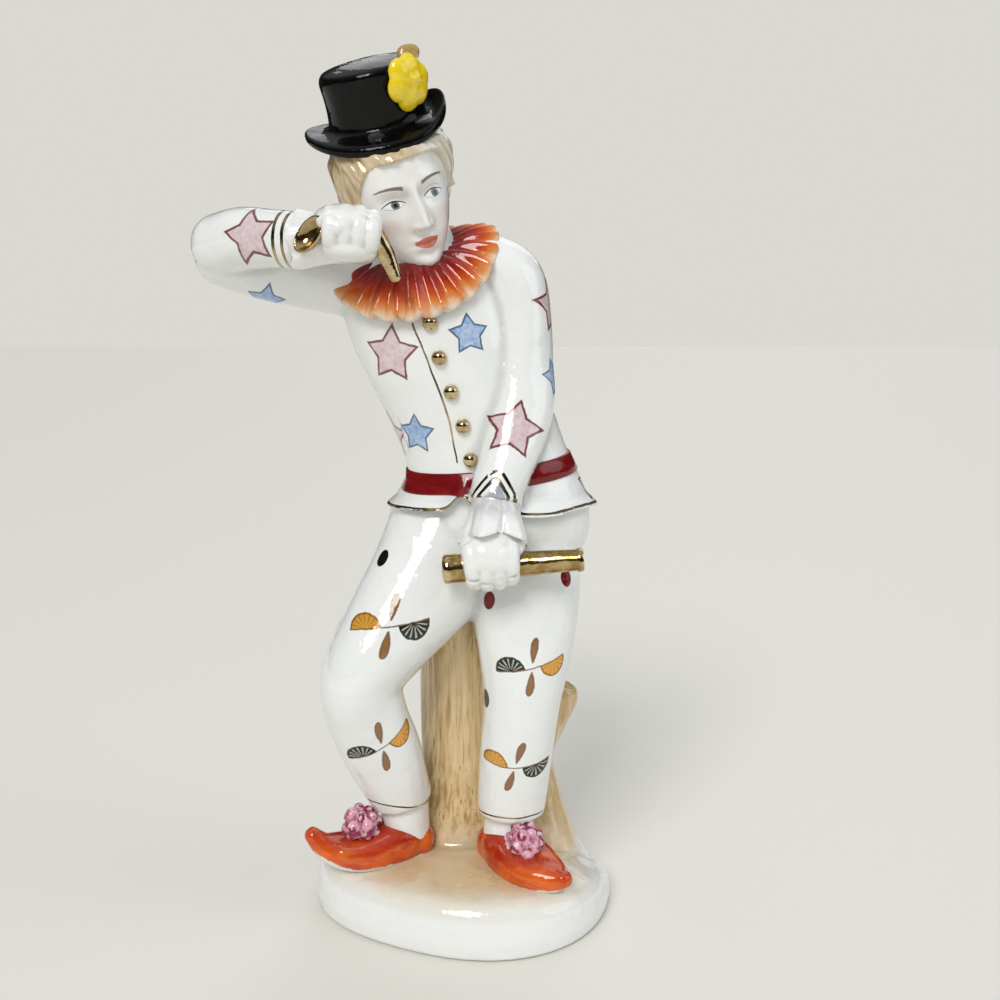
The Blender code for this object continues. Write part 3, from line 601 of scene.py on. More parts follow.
# Half the line's width, how far it and its twin stand either side of the route, and the route
gilt_lines = [
    (0.30, 0.0, snapped(front_edge)), (0.42, 0.0, hem_line()), (0.52, 1.1, snapped(cuff_v)),
    (0.55, 1.5, trace_ring(at(-50.6, -19.3, 202.1), Vector((0.95, -0.30, -0.06)).normalized(), 10.6)),
    (0.32, 0.0, trace_ring(at(-20.8, -6.1, 20.6), Vector((0.15, 0.1, 1)).normalized(), 16)),
    (0.28, 0.0, trace_ring(at(16.0, -8.2, 18.4), Vector((0, 0.05, 1)).normalized(), 16)),
]


DRAWING_REACH = 1.32  # in half sizes of the ornament
LINE_REACH = 0.0032


def note_decoration(mesh):
    """Writes on the vertices near each ornament where they lie in its own small drawing, and
    near each gilt line how far to its side they are."""
    place, normal = vertex_rows(mesh, "co"), vertex_rows(mesh, "normal")
    count = len(place)
    drawing = np.zeros((count, 3))
    drawing_on = np.zeros(count)
    nearest = np.full(count, DRAWING_REACH)
    for kind, spot, size, lean in decorations:
        spot, face = cloth.find_nearest(at(*spot))[:2]
        up = (Vector((0, 0, 1)) - face * face.z).normalized()
        right = up.cross(face)
        c, s = cos(radians(lean)), sin(radians(lean))
        up, right = up * c + right * s, right * c - up * s
        away = place - np.array(spot)
        across, rise = away @ np.array(right), away @ np.array(up)
        size *= MM
        far = np.sqrt((away**2).sum(1)) / size
        near = (far < nearest) & (normal @ np.array(face) > -0.2)
        drawing[near] = np.column_stack((across[near] / size, rise[near] / size,
                                         np.full(near.sum(), kind)))
        drawing_on[near] = 1
        nearest[near] = far[near]
    line = np.zeros((count, 3))
    line_on = np.zeros(count)
    closest = np.full(count, LINE_REACH)
    for width, spacing, points in gilt_lines:
        for start, end in zip(points, points[1:]):
            start, way = np.array(start), np.array(end - start)
            length = np.linalg.norm(way)
            if not 1e-6 < length < 4 * MM:
                continue
            way /= length
            away = place - start
            along = away @ way
            beside = np.sqrt(np.maximum((away**2).sum(1) - along**2, 0))
            near = (along > -0.3 * length) & (along < 1.3 * length) & (beside < closest)
            side = np.cross(normal[near], way)
            side /= np.linalg.norm(side, axis=1)[:, None] + 1e-9
            line[near] = np.column_stack(((away[near] * side).sum(1) / MM,
                                          np.full(near.sum(), width), np.full(near.sum(), spacing)))
            line_on[near] = 1
            closest[near] = beside[near]
    note(mesh, "drawing", drawing)
    note(mesh, "drawing_on", drawing_on)
    note(mesh, "line", line)
    note(mesh, "line_on", line_on)


note_decoration(costume.data)

PINK_WASH = (0.62, 0.43, 0.47, 1)
PINK_EDGE = (0.155, 0.022, 0.020, 1)
BLUE_WASH = (0.19, 0.36, 0.66, 1)
BLUE_EDGE = (0.050, 0.085, 0.17, 1)
SPOT_BLACK = (0.006, 0.008, 0.005, 1)
SPOT_MAROON = (0.17, 0.004, 0.005, 1)
FAN_GOLD = (0.76, 0.38, 0.055, 1)
FAN_BROWN = (0.16, 0.05, 0.012, 1)
FAN_DARK = (0.008, 0.012, 0.007, 1)
FAN_GREY = (0.05, 0.06, 0.045, 1)
FAN_PALE = (0.62, 0.62, 0.56, 1)
DROP_BROWN = (0.26, 0.125, 0.032, 1)
GILT = (0.52, 0.40, 0.22, 1)
GILT_DARK_REFLECTION = (0.060, 0.042, 0.020, 1)
CUFF_GREY = (0.36, 0.37, 0.43, 1)
STAR_HOLLOW = 0.56  # how far the inner corners of a star reach, beside its tips
DROP_LEAN = 0.36
RIB_SPACING = 0.20


def costume_paint(skin):
    hand = skin.cloud(0.55) - 0.5
    wash = skin.cloud(0.22, detail=4.0)
    across, rise, kind = skin.parts(skin.noted("drawing"))
    on = skin.number("drawing_on").above(0.985, 0.01)
    u = across + hand * 0.07
    v = rise + hand * 0.05
    r = (u * u + v * v).sum("SQRT")
    skin.colour = WHITE

    def only(wanted):
        return kind.above(wanted - 0.5, 0.02) * kind.below(wanted + 0.5, 0.02) * on

    # Five-pointed stars, hand drawn, with a dark outline and a thin wash inside
    fold = u.sum("ARCTAN2", v).sum("PINGPONG", pi / 5)
    tip = Vector((STAR_HOLLOW * sin(pi / 5), STAR_HOLLOW * cos(pi / 5) - 1))
    out = Vector((-tip.y, tip.x)).normalized()
    edge = r * fold.sum("SINE") * out.x + (r * fold.sum("COSINE") - 1) * out.y
    rim = edge.abs().below(0.022 + wash * 0.045, 0.030)
    blot = skin.cloud(0.75, detail=4.0).above(0.5, 0.3)
    filled = edge.below(0.0, 0.03) * (0.20 + wash * 0.75 + blot * 0.35).capped()
    for star, inside, outline, cover in ((PINK_STAR, PINK_WASH, PINK_EDGE, 0.95),
                                         (BLUE_STAR, BLUE_WASH, BLUE_EDGE, 0.9)):
        skin.over(filled * only(star), inside)
        skin.over(rim * only(star) * cover, outline)

    # Oval spots, black or maroon
    oval = (u * u * 1.7 + v * v).sum("SQRT").below(0.86, 0.08)
    for spot, paint in ((DARK_SPOT, SPOT_BLACK), (RED_SPOT, SPOT_MAROON)):
        skin.over(oval * only(spot), paint)

    # Two half fans on a stem, one over it and one under it, with a drop above and below
    motif = on * kind.above(GOLD_LEFT_FAN - 0.5, 0.02)
    dark_left = kind.above(DARK_LEFT_FAN - 0.5, 0.02)
    bend = v - u * u * 0.10 + 0.03
    stem = bend.abs().below(0.020, 0.02) * u.abs().below(0.98, 0.02)
    left = u.below(0.0, 0.01)
    du = u.abs() - 0.60
    dv = bend.abs()
    over = (bend * (left * 2 - 1)).above(0.0, 0.02)
    span = (du * du + dv * dv * 0.80).sum("SQRT")
    fan = span.below(0.37, 0.03) * over
    spoke = du.sum("ARCTAN2", dv).sum("PINGPONG", RIB_SPACING)
    from_hub = span.above(0.08, 0.04)
    fan_rim = (span - 0.365).abs().below(0.022, 0.02) * over
    dark = (left * dark_left).either((1 - left) * (1 - dark_left))
    gaps = spoke.below(0.062, 0.045) * span.above(0.08, 0.06) * span.below(0.335, 0.03)
    ribs = spoke.below(0.026, 0.022) * from_hub
    gold_fan = blend(skin.tree, ribs.either(fan_rim) * 0.8, FAN_GOLD, FAN_BROWN)
    dark_fan = blend(skin.tree, wash.above(0.5, 0.2) * 0.25, FAN_DARK, FAN_GREY)
    dark_fan = blend(skin.tree, gaps * 0.75, dark_fan, FAN_PALE)
    skin.over(fan.either(fan_rim) * motif, blend(skin.tree, dark, gold_fan, dark_fan))
    t = (v.abs() - 0.12) / 0.66
    half = t.sum("MAXIMUM", 0.0) * (1 - t).sum("MAXIMUM", 0.0).sum("SQRT") * 0.27
    beside = (u - v * DROP_LEAN).abs() - half
    drop = beside.below(0.0, 0.03) * t.above(0.0, 0.02) * t.below(1.0, 0.02)
    drop_rim = beside.abs().below(0.022, 0.03) * t.above(0.0, 0.02) * t.below(1.02, 0.02)
    skin.over(drop * motif * 0.98, DROP_BROWN)
    skin.over(drop_rim.either(stem) * motif * 0.85, FAN_BROWN)

    # Gilt lines, drawn with a brush that wanders and thins. They are mostly dark, a painted reflection of
    # a dark room in the gold, with patches of gold as painted glints
    side, width, spacing = skin.parts(skin.noted("line"))
    side = side + (skin.cloud(0.12, detail=1.0) - 0.5) * 0.7
    gilt = (side.abs() - spacing).abs().below(width * (0.55 + wash * 0.9), 0.10)
    gilt = gilt * skin.number("line_on").above(0.985, 0.01)
    painted_glint = skin.cloud(0.11, detail=2.0).above(0.55, 0.16)
    skin.over(gilt, blend(skin.tree, painted_glint, GILT_DARK_REFLECTION, GILT))

    # Patchy grey inside the cuff's pointed opening
    x, y, z = skin.place
    up = z - MOUND_TOP
    under = (up - x * 0.91).below(119.0, 1.2) * (up + x * 2.4).below(159.0, 2.5)
    inside = under * y.below(-21.0, 3.0) * up.above(122.0, 5.0) * up.below(134.0, 1.0)
    skin.over(inside * (0.35 + wash * 1.1).capped(), CUFF_GREY)
    skin.metal = gilt * 0.85 + fan * motif * (1 - dark) * 0.25
    skin.rough = gilt * 0.08
    dark_paint = (oval * (only(DARK_SPOT) + only(RED_SPOT))).either(fan * motif * dark)
    skin.coat = 0.5 - dark_paint * 0.5


dress(costume, glazed("glazed_costume", costume_paint, gloss=0.045, pooling_and_shade=0.5))


# The sash. It is a low band of the same porcelain, modelled on the waist of the jacket while the
# clay is soft, and painted deep red over the glaze.

SASH_WIDTH = 0.0062
SASH_PROUD = 0.0006
PAST_THE_WAIST = 60


def sash_band():
    """A ring laid on the bodice, which is skinned here once more without the sleeves."""
    bodice = slip("bodice", [limb("torso", torso), jacket_skirt()], 0.8, 6)
    under = BVHTree.FromObject(bodice, bpy.context.evaluated_depsgraph_get())
    bpy.data.objects.remove(bodice)
    middle, across, deep, up = waist_frame()
    half = SASH_WIDTH / 2
    profile = [(-half, -2.2 * SASH_PROUD), (-half, 0.5 * SASH_PROUD),
               (-half + 0.5 * SASH_PROUD, SASH_PROUD), (0, 1.15 * SASH_PROUD),
               (half - 0.5 * SASH_PROUD, SASH_PROUD), (half, 0.5 * SASH_PROUD),
               (half, -2.2 * SASH_PROUD)]

    def spot(row, turn):
        out = across * cos(turn) + deep * sin(turn)
        start = middle + up * row[0] + out * PAST_THE_WAIST * MM
        return under.ray_cast(start, -out)[0] + out * row[1]

    return ring_body("sash", profile, 200, spot, closed=True)


def sash_paint(skin):
    skin.colour = (0.13, 0.003, 0.005, 1)
    skin.over(skin.cloud(0.30, stretch=(0.4, 0.4, 1.6), detail=4.0).above(0.5, 0.35),
              (0.22, 0.008, 0.010, 1))


sash = sash_band()
sash.data.shade_smooth()
dress(sash, glazed("sash_enamel", sash_paint, gloss=0.10, pooling_and_shade=0.2, ripple=0.5, coat=0.05))


# The head, with its neck: bare porcelain with a face modelled plainly, then tinted at the lips
# and cheeks and lined at the brows and lashes with a fine brush.

HEAD_CENTRE = (-19.4, -7.4, 216.6)
HEAD_TURN = (18, -15, 20)  # bowed forward, leaning to its right, looking to its left
HAT_CENTRE = (-24.6, -8.2, 236.4)
HAT_TURN = (23, -9, 0)
CROWN_RADIUS = 0.0152
# Height, half width, and reach to the front and to the back
skull = [(-21.6, 4.0, 12.6, 3.0), (-20.0, 6.8, 14.9, 5.0), (-17.0, 9.4, 15.9, 8.0),
         (-13.0, 11.8, 16.3, 11.5), (-8.0, 13.8, 16.8, 14.5), (-3.0, 15.2, 17.1, 16.8),
         (2.0, 16.0, 17.2, 18.6), (7.0, 16.4, 17.0, 19.4), (12.0, 16.2, 16.0, 19.0),
         (16.0, 14.8, 13.8, 17.0), (19.0, 11.6, 10.2, 13.2), (21.2, 5.0, 4.4, 5.6)]


def hat_frame():
    return set_at(at(*HAT_CENTRE), HAT_TURN)


def head_frame():
    bow, lean, look = map(radians, HEAD_TURN)
    turn = Matrix.Rotation(lean, 4, "Y") @ Matrix.Rotation(bow, 4, "X")
    return Matrix.Translation(at(*HEAD_CENTRE)) @ turn @ Matrix.Rotation(look, 4, "Z")


def hump(value, middle, spread):
    return exp(-(((value - middle) / spread) ** 2))


def ease(value, low, high):
    t = min(max((value - low) / (high - low), 0), 1)
    return t * t * (3 - 2 * t)


def face_relief(x, z):
    """How far the face stands forward of the plain head at x across and z up, in mm."""
    side = abs(x)
    bridge = 1.4 + 3.4 * ease(-z, -4, 7.4)
    wide = 1.5 + 1.0 * ease(-z, 0, 7.5)
    relief = bridge * exp(-((side / wide) ** 2)) * ease(z, -9.6, -7.6) * ease(-z, -7, -2)
    # Height, place across and how broad, place up and how tall: sockets, inner corners, eyes,
    # brows, nostrils, both lips, the parting, the dip under them, chin and cheeks
    for height, across, broad, up, tall in (
        (-2.3, 6.2, 3.4, 0.8, 2.7), (-1.0, 2.6, 1.6, 1.2, 2.4), (1.7, 6.6, 2.5, 0.0, 1.8),
        (0.7, 6.0, 4.8, 5.0, 2.0), (1.3, 2.5, 1.0, -7.6, 1.2), (1.25, 0, 3.4, -11.7, 0.95),
        (1.35, 0, 2.9, -14.0, 1.1), (-0.5, 0, 3.8, -12.8, 0.45), (-0.7, 0, 4.0, -16.2, 1.1),
        (1.2, 0, 3.8, -19.0, 2.4), (0.6, 9.4, 3.4, -5.0, 3.6),
    ):
        relief += height * hump(side, across, broad) * hump(z, up, tall)
    return relief


def hairline(y):
    front = 11.5 - 14.0 * ease(y, -14, -5)
    over_ear = 5.5 * hump(y, 1.5, 4.0)
    return front + over_ear - 11.0 * ease(y, 4, 14)


def under_hat(spot):
    """Draws a point of the head in, where it would stand out through the hat."""
    hat_spot = hat_frame().inverted() @ spot
    reach = hypot(hat_spot.x, hat_spot.y)
    drawn = 0.86 * CROWN_RADIUS
    if reach > drawn:
        shrink = 1 - ease(hat_spot.z, -2.6 * MM, -0.6 * MM) * (1 - drawn / reach)
        hat_spot = Vector((hat_spot.x * shrink, hat_spot.y * shrink, hat_spot.z))
    return hat_frame() @ hat_spot


def head_skin(name, hair, around, steps):
    placed = head_frame()

    def spot(row, turn):
        z, wide, front, back = row
        x = wide * cos(turn)
        y = (back if sin(turn) > 0 else front) * sin(turn)
        if hair:
            cover = ease(z, hairline(y) - 0.8, hairline(y) + 0.8)
            lock = 0.5 * sin(9 * turn + 0.55 * z + 1.2 * sin(0.4 * z))
            strand = 0.22 * sin(31 * turn + 0.9 * z + 2.0 * sin(0.3 * z + 4 * turn))
            full = 1.4 * hump(z, 12, 7) * max(cos(turn), 0) ** 1.5 - 1.1 * max(-cos(turn), 0)
            more = -5.0 + cover * (6.6 + lock + strand + full + 0.8 * hump(y, 4, 9))
            x, y = x + more * cos(turn), y + more * sin(turn)
        else:
            y -= face_relief(x, z) * ease(-sin(turn), 0.15, 0.6)
        return under_hat(placed @ (Vector((x, y, z)) * MM))

    return ring_body(name, smooth_path(skull, steps), around, spot)


def ball(name, centre, radii, turn=(0, 0, 0), detail=4):
    """An egg with its three radii in mm."""
    bm = bmesh.new()
    bmesh.ops.create_icosphere(bm, subdivisions=detail, radius=1)
    bm.transform(set_at(centre, turn) @ Matrix.Diagonal((*(r * MM for r in radii), 1)))
    return new_piece(name, bm)


def ears():
    place = head_frame()
    for side in (-1, 1):
        turn = place.to_3x3() @ Euler((0.15, side * 0.1, side * 0.4)).to_matrix()
        middle = place @ (Vector((side * 16.0, 2.0, -2.6)) * MM)
        yield ball("ear", middle, (1.4, 2.9, 4.6), map(degrees, turn.to_euler()))


def note_face(mesh):
    """Writes each vertex's place in the head's own frame, in mm, for the painting."""
    back = head_frame().inverted()
    note(mesh, "face", np.array([(back @ v.co) * 1000 for v in mesh.vertices]))


neck = [(-12.6, -1.0, 190, 9.2), (-13.4, -2.0, 199, 8.2), (-16, -2.6, 207, 8.6)]
head = slip("head", [head_skin("skull", False, 200, 10), limb("neck", neck), *ears()], 0.42, 3)
note_face(head.data)
SKIN = (0.85, 0.845, 0.82, 1)
EYE_WHITE = (0.90, 0.90, 0.88, 1)
EYE_GREY = (0.13, 0.17, 0.19, 1)
PARTING = (0.22, 0.02, 0.012, 1)
NOSTRIL = (0.45, 0.20, 0.14, 1)
BROW = (0.10, 0.045, 0.018, 1)
LASH = (0.030, 0.018, 0.012, 1)
LIP = (0.62, 0.085, 0.035, 1)
BLUSH = (0.80, 0.42, 0.34, 1)


def face_paint(skin):
    x, y, z = skin.parts(skin.noted("face"))
    side = x.abs()
    front = y.below(-6.0, 1.0)
    hand = (skin.cloud(1.1, detail=2.0) - 0.5) * 0.25
    skin.colour = SKIN
    cheek = ((side - 8.6).squared() / 16 + (z + 6.2).squared() / 12).below(0.5, 1.0)
    skin.over(cheek * front * 0.22, BLUSH)

    # Eyes: white ball, grey-blue iris, lash line above and a thin one below
    ex = side - 6.5
    lid = 1.25 - ex * ex * 0.105
    low = ex * ex * 0.085 - 1.05
    inside = (z - lid).below(0.0, 0.12) * (z - low).above(0.0, 0.12) * ex.abs().below(3.3, 0.1) * front
    skin.over(inside * 0.55, EYE_WHITE)
    gaze = x.sum("SIGN") * side - x.sum("SIGN") * 6.5 - 0.35
    iris = (gaze.squared() + (z - 0.05).squared()).sum("SQRT")
    skin.over(iris.below(1.22, 0.14) * inside, EYE_GREY)
    skin.over(iris.below(0.60, 0.14) * inside, LASH)
    lash = (z - lid - hand * 0.4).abs().below(0.20 - ex.abs() * 0.02, 0.10) * ex.abs().below(3.5, 0.15)
    under = (z - low).abs().below(0.07, 0.08) * ex.abs().below(3.0, 0.2) * 0.6
    fold = (z - lid - 1.15).abs().below(0.07, 0.08) * ex.abs().below(2.9, 0.4) * 0.5
    skin.over(lash.either(under).either(fold) * front, LASH)

    # Brows: a level tapering stroke over each eye
    bx = side - 7.0
    arch = 5.1 - bx * bx * 0.045 + bx * 0.05
    brow = (z - arch - hand).abs().below(0.42 - bx * 0.055, 0.16) * bx.abs().below(4.0, 0.5)
    skin.over(brow * front * 0.85, BROW)

    # Lips
    upper = -11.35 - side * 0.16 + (side - 1.2).squared().below(1.0, 1.6) * 0.18
    bottom = -14.55 + side * side * 0.11
    mouth = (z - upper).below(0.0, 0.16) * (z - bottom).above(0.0, 0.16) * side.below(3.75, 0.3)
    skin.over(mouth * front * 0.88, LIP)
    parting = (z + 12.85 + side * 0.02).abs().below(0.11, 0.10) * side.below(3.7, 0.3)
    skin.over(parting * front * 0.75, PARTING)
    nostril = ((side - 1.7).squared() + (z + 9.0).squared() * 2.5).sum("SQRT").below(0.5, 0.3)
    skin.over(nostril * front * 0.35, NOSTRIL)


dress(head, glazed("painted_face", face_paint, gloss=0.06, pooling_and_shade=0.30, ripple=0.4))


# The hair, in short locks from under the hat. It is porcelain like the head, combed with a tool
# in the soft clay, then glazed and washed tan-blond.

HAIR_FAIR = (0.70, 0.57, 0.38, 1)
HAIR_TAN = (0.52, 0.38, 0.21, 1)
HAIR_FADED = (0.74, 0.70, 0.60, 1)


def hair_paint(skin):
    x, y, z = skin.parts(skin.noted("face"))
    strand = skin.cloud(0.9, stretch=(1, 1, 0.12), detail=4.0, spot=skin.noted("face"))
    wash = skin.cloud(0.12)
    skin.colour = HAIR_FAIR
    skin.over(strand.above(0.5, 0.35), HAIR_TAN)
    faded = (z + wash * 8).below(-5.0, 9.0).either(x.above(4.0, 8.0)).either(wash.above(0.56, 0.12) * 0.8)
    skin.over(faded * 0.8, HAIR_FADED)


hair = head_skin("hair", True, 260, 12)
note_creases(hair, 0.6)
note_face(hair.data)
dress(hair, glazed("hair_wash", hair_paint, gloss=0.09, pooling_and_shade=0.7, ripple=0.4))


# The top hat, with a rolled brim. It is porcelain, modelled on the head in the soft clay, and
# enamelled black over the glaze.

CROWN_HEIGHT = 0.0190
BRIM_OVERHANG = 0.0075
BRIM_THICKNESS = 0.0030


def top_hat():
    place = hat_frame()
    crown = CROWN_RADIUS
    brim = crown + BRIM_OVERHANG
    half = BRIM_THICKNESS / 2
    tall = CROWN_HEIGHT
    outline = [(0.5 * crown, -0.25 * tall), (0.90 * crown, -0.2 * tall), (0.96 * crown, -half),
               (0.5 * (crown + brim), -half)]
    outline += [(brim - inset * half, rise * half) for inset, rise in (
        (0.8, -0.95), (0.15, -0.6), (0, 0), (0.15, 0.6), (0.8, 0.95))]
    outline += [(0.5 * (crown + brim), half), (crown + 0.8 * half, half * 1.3)]
    outline += [(reach * crown, rise * tall) for reach, rise in (
        (0.985, 0.18), (0.965, 0.40), (0.975, 0.62), (1.0, 0.80), (0.99, 0.885), (0.95, 0.945),
        (0.86, 0.985), (0.5, 1.03))]

    def spot(row, turn):
        radius, height = row
        out = max(radius - crown, 0) / BRIM_OVERHANG
        left = max(cos(turn - 0.45), 0) ** 2
        right = max(-cos(turn), 0) ** 3
        curl = 6.4 * left + 1.6 * right - 2.4 * sin(turn) ** 2
        reach = radius * (1 - 0.08 * out * left)
        slope = 0.05 * reach * cos(turn) * max(height / tall, 0)
        rolled = height * (1 + 0.7 * out * left) + curl * MM * out**1.6 + slope
        return place @ Vector((reach * cos(turn), reach * 0.96 * sin(turn), rolled))

    return ring_body("top_hat", smooth_path(outline, 3), 144, spot)


def hat_paint(skin):
    brush = skin.cloud(0.35, stretch=(1, 1, 0.4), detail=4.0)
    dust = skin.cloud(1.2, detail=5.0).above(0.60, 0.10)
    skin.colour = (0.002, 0.002, 0.002, 1)
    skin.over(brush.above(0.55, 0.3) * 0.5, (0.007, 0.0065, 0.006, 1))
    skin.over(dust * 0.006, (0.35, 0.33, 0.30, 1))
    skin.rough = dust * 0.02


hat = top_hat()
note_creases(hat, 0.5)
black_enamel = glazed("black_enamel", hat_paint, gloss=0.03, pooling_and_shade=0.0, ripple=0.8, coat=0.0)
black_enamel.node_tree.nodes["Principled BSDF"].inputs["Specular IOR Level"].default_value = 0.2
dress(hat, black_enamel)


# The flower on the hat: petals pinched from clay round a small heart, stuck to the crown and
# enamelled yellow, with one tan leaf behind it.

PETAL_RING = {"Petals": 6, "Spread": 0.0042, "Petal Size": 0.0037}


def pattern(name, sizes):
    """A tree that makes or changes a shape, with a named input for each of its sizes."""
    shape = ("Geometry", "Geometry")
    inputs = [(label, "Int" if isinstance(size, int) else "Float", size) for label, size in sizes.items()]
    return node_group(name, "Geometry", [shape] + inputs, [shape])


def both_of(tree, *shapes):
    joined = tree.nodes.new("GeometryNodeJoinGeometry")
    for shape in shapes:
        tree.links.new(shape[0], joined.inputs[0])
    return joined.outputs


def finish_tree(tree, geometry, out, material):
    solid = put(tree, "GeometryNodeRealizeInstances", Geometry=geometry)
    tinted = put(tree, "GeometryNodeSetMaterial", Geometry=solid[0], Material=material)
    tree.links.new(tinted[0], out["Geometry"])
    return tree


def grown(name, tree, sizes, base=None):
    """Runs a tree on an empty mesh, or a given one, and keeps the result as a plain mesh."""
    piece = base or new_piece(name, bmesh.new())
    modifier = piece.modifiers.new("pattern", "NODES")
    modifier.node_group = tree
    labels = {item.name: item.identifier for item in tree.interface.items_tree
              if item.item_type == "SOCKET" and item.in_out == "INPUT"}
    for label, value in sizes.items():
        modifier[labels[label]] = value
    plain_mesh(piece)
    return piece


def flower_place():
    place = hat_frame()
    turn = radians(-42)
    out = Vector((cos(turn), sin(turn), 0.02))
    middle = place @ (out * (CROWN_RADIUS * 1.06) + Vector((0, 0, CROWN_HEIGHT * 0.70)))
    face = (place.to_3x3() @ out).normalized()
    upward = (place.to_3x3() @ Vector((0, 0, 1))).normalized()
    sideways = upward.cross(face).normalized()
    return Matrix.Translation(middle) @ Matrix((sideways, upward, face)).transposed().to_4x4()


def yellow_paint(skin):
    skin.colour = (0.86, 0.66, 0.015, 1)
    skin.over(skin.cloud(0.35, detail=4.0).above(0.55, 0.3) * 0.6, (0.80, 0.50, 0.01, 1))
    # Darker orange in the creases between the petals, a painted shade
    skin.over(skin.number("crease") * 0.5, (0.55, 0.27, 0.01, 1))


yellow_enamel = glazed("yellow_enamel", yellow_paint, gloss=0.07, pooling_and_shade=0.2)


def petal_tree():
    tree, given, out = pattern("petal_ring", PETAL_RING)
    ring = put(tree, "GeometryNodeMeshCircle", Vertices=given["Petals"], Radius=given["Spread"])
    petal = put(tree, "GeometryNodeMeshIcoSphere", Radius=given["Petal Size"], Subdivisions=4)
    cupped = put(tree, "GeometryNodeTransform", Geometry=petal[0], Scale=(1.06, 1.14, 0.60))
    place = put(tree, "GeometryNodeInputPosition")
    lean = put(tree, "ShaderNodeVectorMath", {"operation": "SCALE"}, Vector=place[0], Scale=70.0)
    spin = put(tree, "FunctionNodeAlignEulerToVector", {"axis": "Z"}, Vector=lean[0], Factor=0.16)
    put_on = put(tree, "GeometryNodeInstanceOnPoints", Points=ring[0],
                 Instance=cupped[0], Rotation=spin[0])
    return finish_tree(tree, put_on[0], out, yellow_enamel)


petals = grown("petals", petal_tree(), PETAL_RING)
petals.data.transform(flower_place() @ Matrix.Diagonal((1.04, 1.0, 1, 1)) @ Matrix.Rotation(0.2, 4, "Z"))


def frilled(name, centre, radii, frills, seed):
    """A soft lump with a frilled edge, in the flower's own frame, in mm."""
    form = ball(name, Vector(centre) * MM, radii, detail=5)
    for v in form.data.vertices:
        turn = atan2(v.co.y - centre[1] * MM, v.co.x - centre[0] * MM)
        v.co.z += 0.35 * MM * sin(frills * turn + seed) * hypot(v.co.x, v.co.y) / (radii[0] * MM)
    form.data.transform(flower_place())
    return form


heart = [frilled("heart", (0, 0, 1.0), (4.4, 4.8, 1.6), 3, 0.4),
         frilled("curl", (0.6, 0.6, 2.0), (2.2, 2.5, 0.9), 2, 1.0)]
dress(slip("flower", [petals] + heart, 0.38, 12), yellow_enamel)
dress(slip("flower_leaf", [frilled("leaf", (2.8, 6.4, -1.2), (3.8, 3.5, 2.4), 2, 0.0)], 0.45, 2),
      glazed("tan_wash", (0.42, 0.27, 0.10, 1), gloss=0.10, pooling_and_shade=0.5))


# The collar: a thin sheet of clay crimped into pleats and laid round the neck, painted from
# deep red at the neck to bare white at the rim.

# Lengths in mm but for the thickness
COLLAR = {"Pleats": 24, "Pleat Depth": 1.4, "Neck": 9.0, "Side Reach": 18.4, "Front Reach": 14.5,
          "Front Fall": 13.0, "Left Lift": 5.1, "Thickness": 0.0028}
WELD = 0.00001
COLLAR_RED = (0.19, 0.004, 0.003, 1)
# How far out each paler red starts, how softly, and its colour
COLLAR_TINTS = [(0.50, 0.22, (0.36, 0.018, 0.006, 1)), (0.70, 0.20, (0.60, 0.11, 0.016, 1)),
                (0.86, 0.16, (0.72, 0.33, 0.12, 1)), (0.98, 0.14, (0.77, 0.67, 0.55, 1))]


def collar_paint(skin):
    """Colour runs out along the pleats in brush strokes of uneven length."""
    turn, out, fold = skin.parts(skin.noted("pleat"))
    strip = put(skin.tree, "ShaderNodeCombineXYZ", X=turn * 9.0, Y=out * 1.1, Z=0.0)[0]
    stroke = skin.cloud(1.0, detail=4.0, spot=strip) - 0.5
    bristle = skin.cloud(4.0, stretch=(1, 0.3, 1), spot=strip) - 0.5
    reach = out + stroke * 0.42 + bristle * 0.12 - fold * 0.05
    skin.colour = COLLAR_RED
    for start, soft, paint in COLLAR_TINTS:
        skin.over(reach.above(start, soft), paint)


def collar_tree():
    """A ring of strips from neck to rim, whose height and reach follow the pleats."""
    tree, given, out = pattern("pleated_collar", COLLAR)
    sheet = put(tree, "GeometryNodeMeshGrid", SizeX=2 * pi, SizeY=1.0, VerticesX=577, VerticesY=30)
    place = put(tree, "GeometryNodeInputPosition")[0]
    turn, middle, _ = (Field(tree, part) for part in put(
        tree, "ShaderNodeSeparateXYZ", Vector=place))
    span = middle + 0.5
    wave = (turn * given["Pleats"] + (turn * 5.0).sum("SINE") * 0.35).sum("COSINE")
    lift = (wave * given["Pleat Depth"] + 0.5) * span
    facing = (turn.sum("SINE") * -0.5 + 0.5) ** 1.6
    left = turn.sum("COSINE").either(0.0) ** 4.0
    drop = (facing * given["Front Fall"] + 0.5) - left * given["Left Lift"]
    start = lift * 0.25 + given["Neck"]
    wide, deep = (span * given[reach] + start for reach in ("Side Reach", "Front Reach"))
    puff = (span * pi).sum("SINE") * 1.6
    height = (3.2 - drop * span**1.2) + (lift * 0.85 + puff)
    flat = put(tree, "ShaderNodeCombineXYZ", X=wide * turn.sum("COSINE"), Y=deep * turn.sum("SINE"),
               Z=height)[0]
    scaled = put(tree, "ShaderNodeVectorMath", {"operation": "SCALE"}, Vector=flat, Scale=MM)[0]
    pleat = put(tree, "ShaderNodeCombineXYZ", X=turn, Y=span, Z=wave)[0]
    record = put(tree, "GeometryNodeStoreNamedAttribute", {"data_type": "FLOAT_VECTOR", "domain": "POINT"},
                 Geometry=sheet[0], Name="pleat", Value=pleat)
    shaped = put(tree, "GeometryNodeSetPosition", Geometry=record[0], Position=scaled)
    sewn = put(tree, "GeometryNodeMergeByDistance", Geometry=shaped[0], Distance=WELD)
    thick = put(tree, "GeometryNodeExtrudeMesh", Mesh=sewn[0],
                OffsetScale=given["Thickness"], Individual=False)
    turned = put(tree, "GeometryNodeFlipFaces", Mesh=sewn[0])
    both = both_of(tree, turned, thick)
    welded = put(tree, "GeometryNodeMergeByDistance", Geometry=both[0], Distance=WELD)
    return finish_tree(tree, welded[0], out, red_wash)


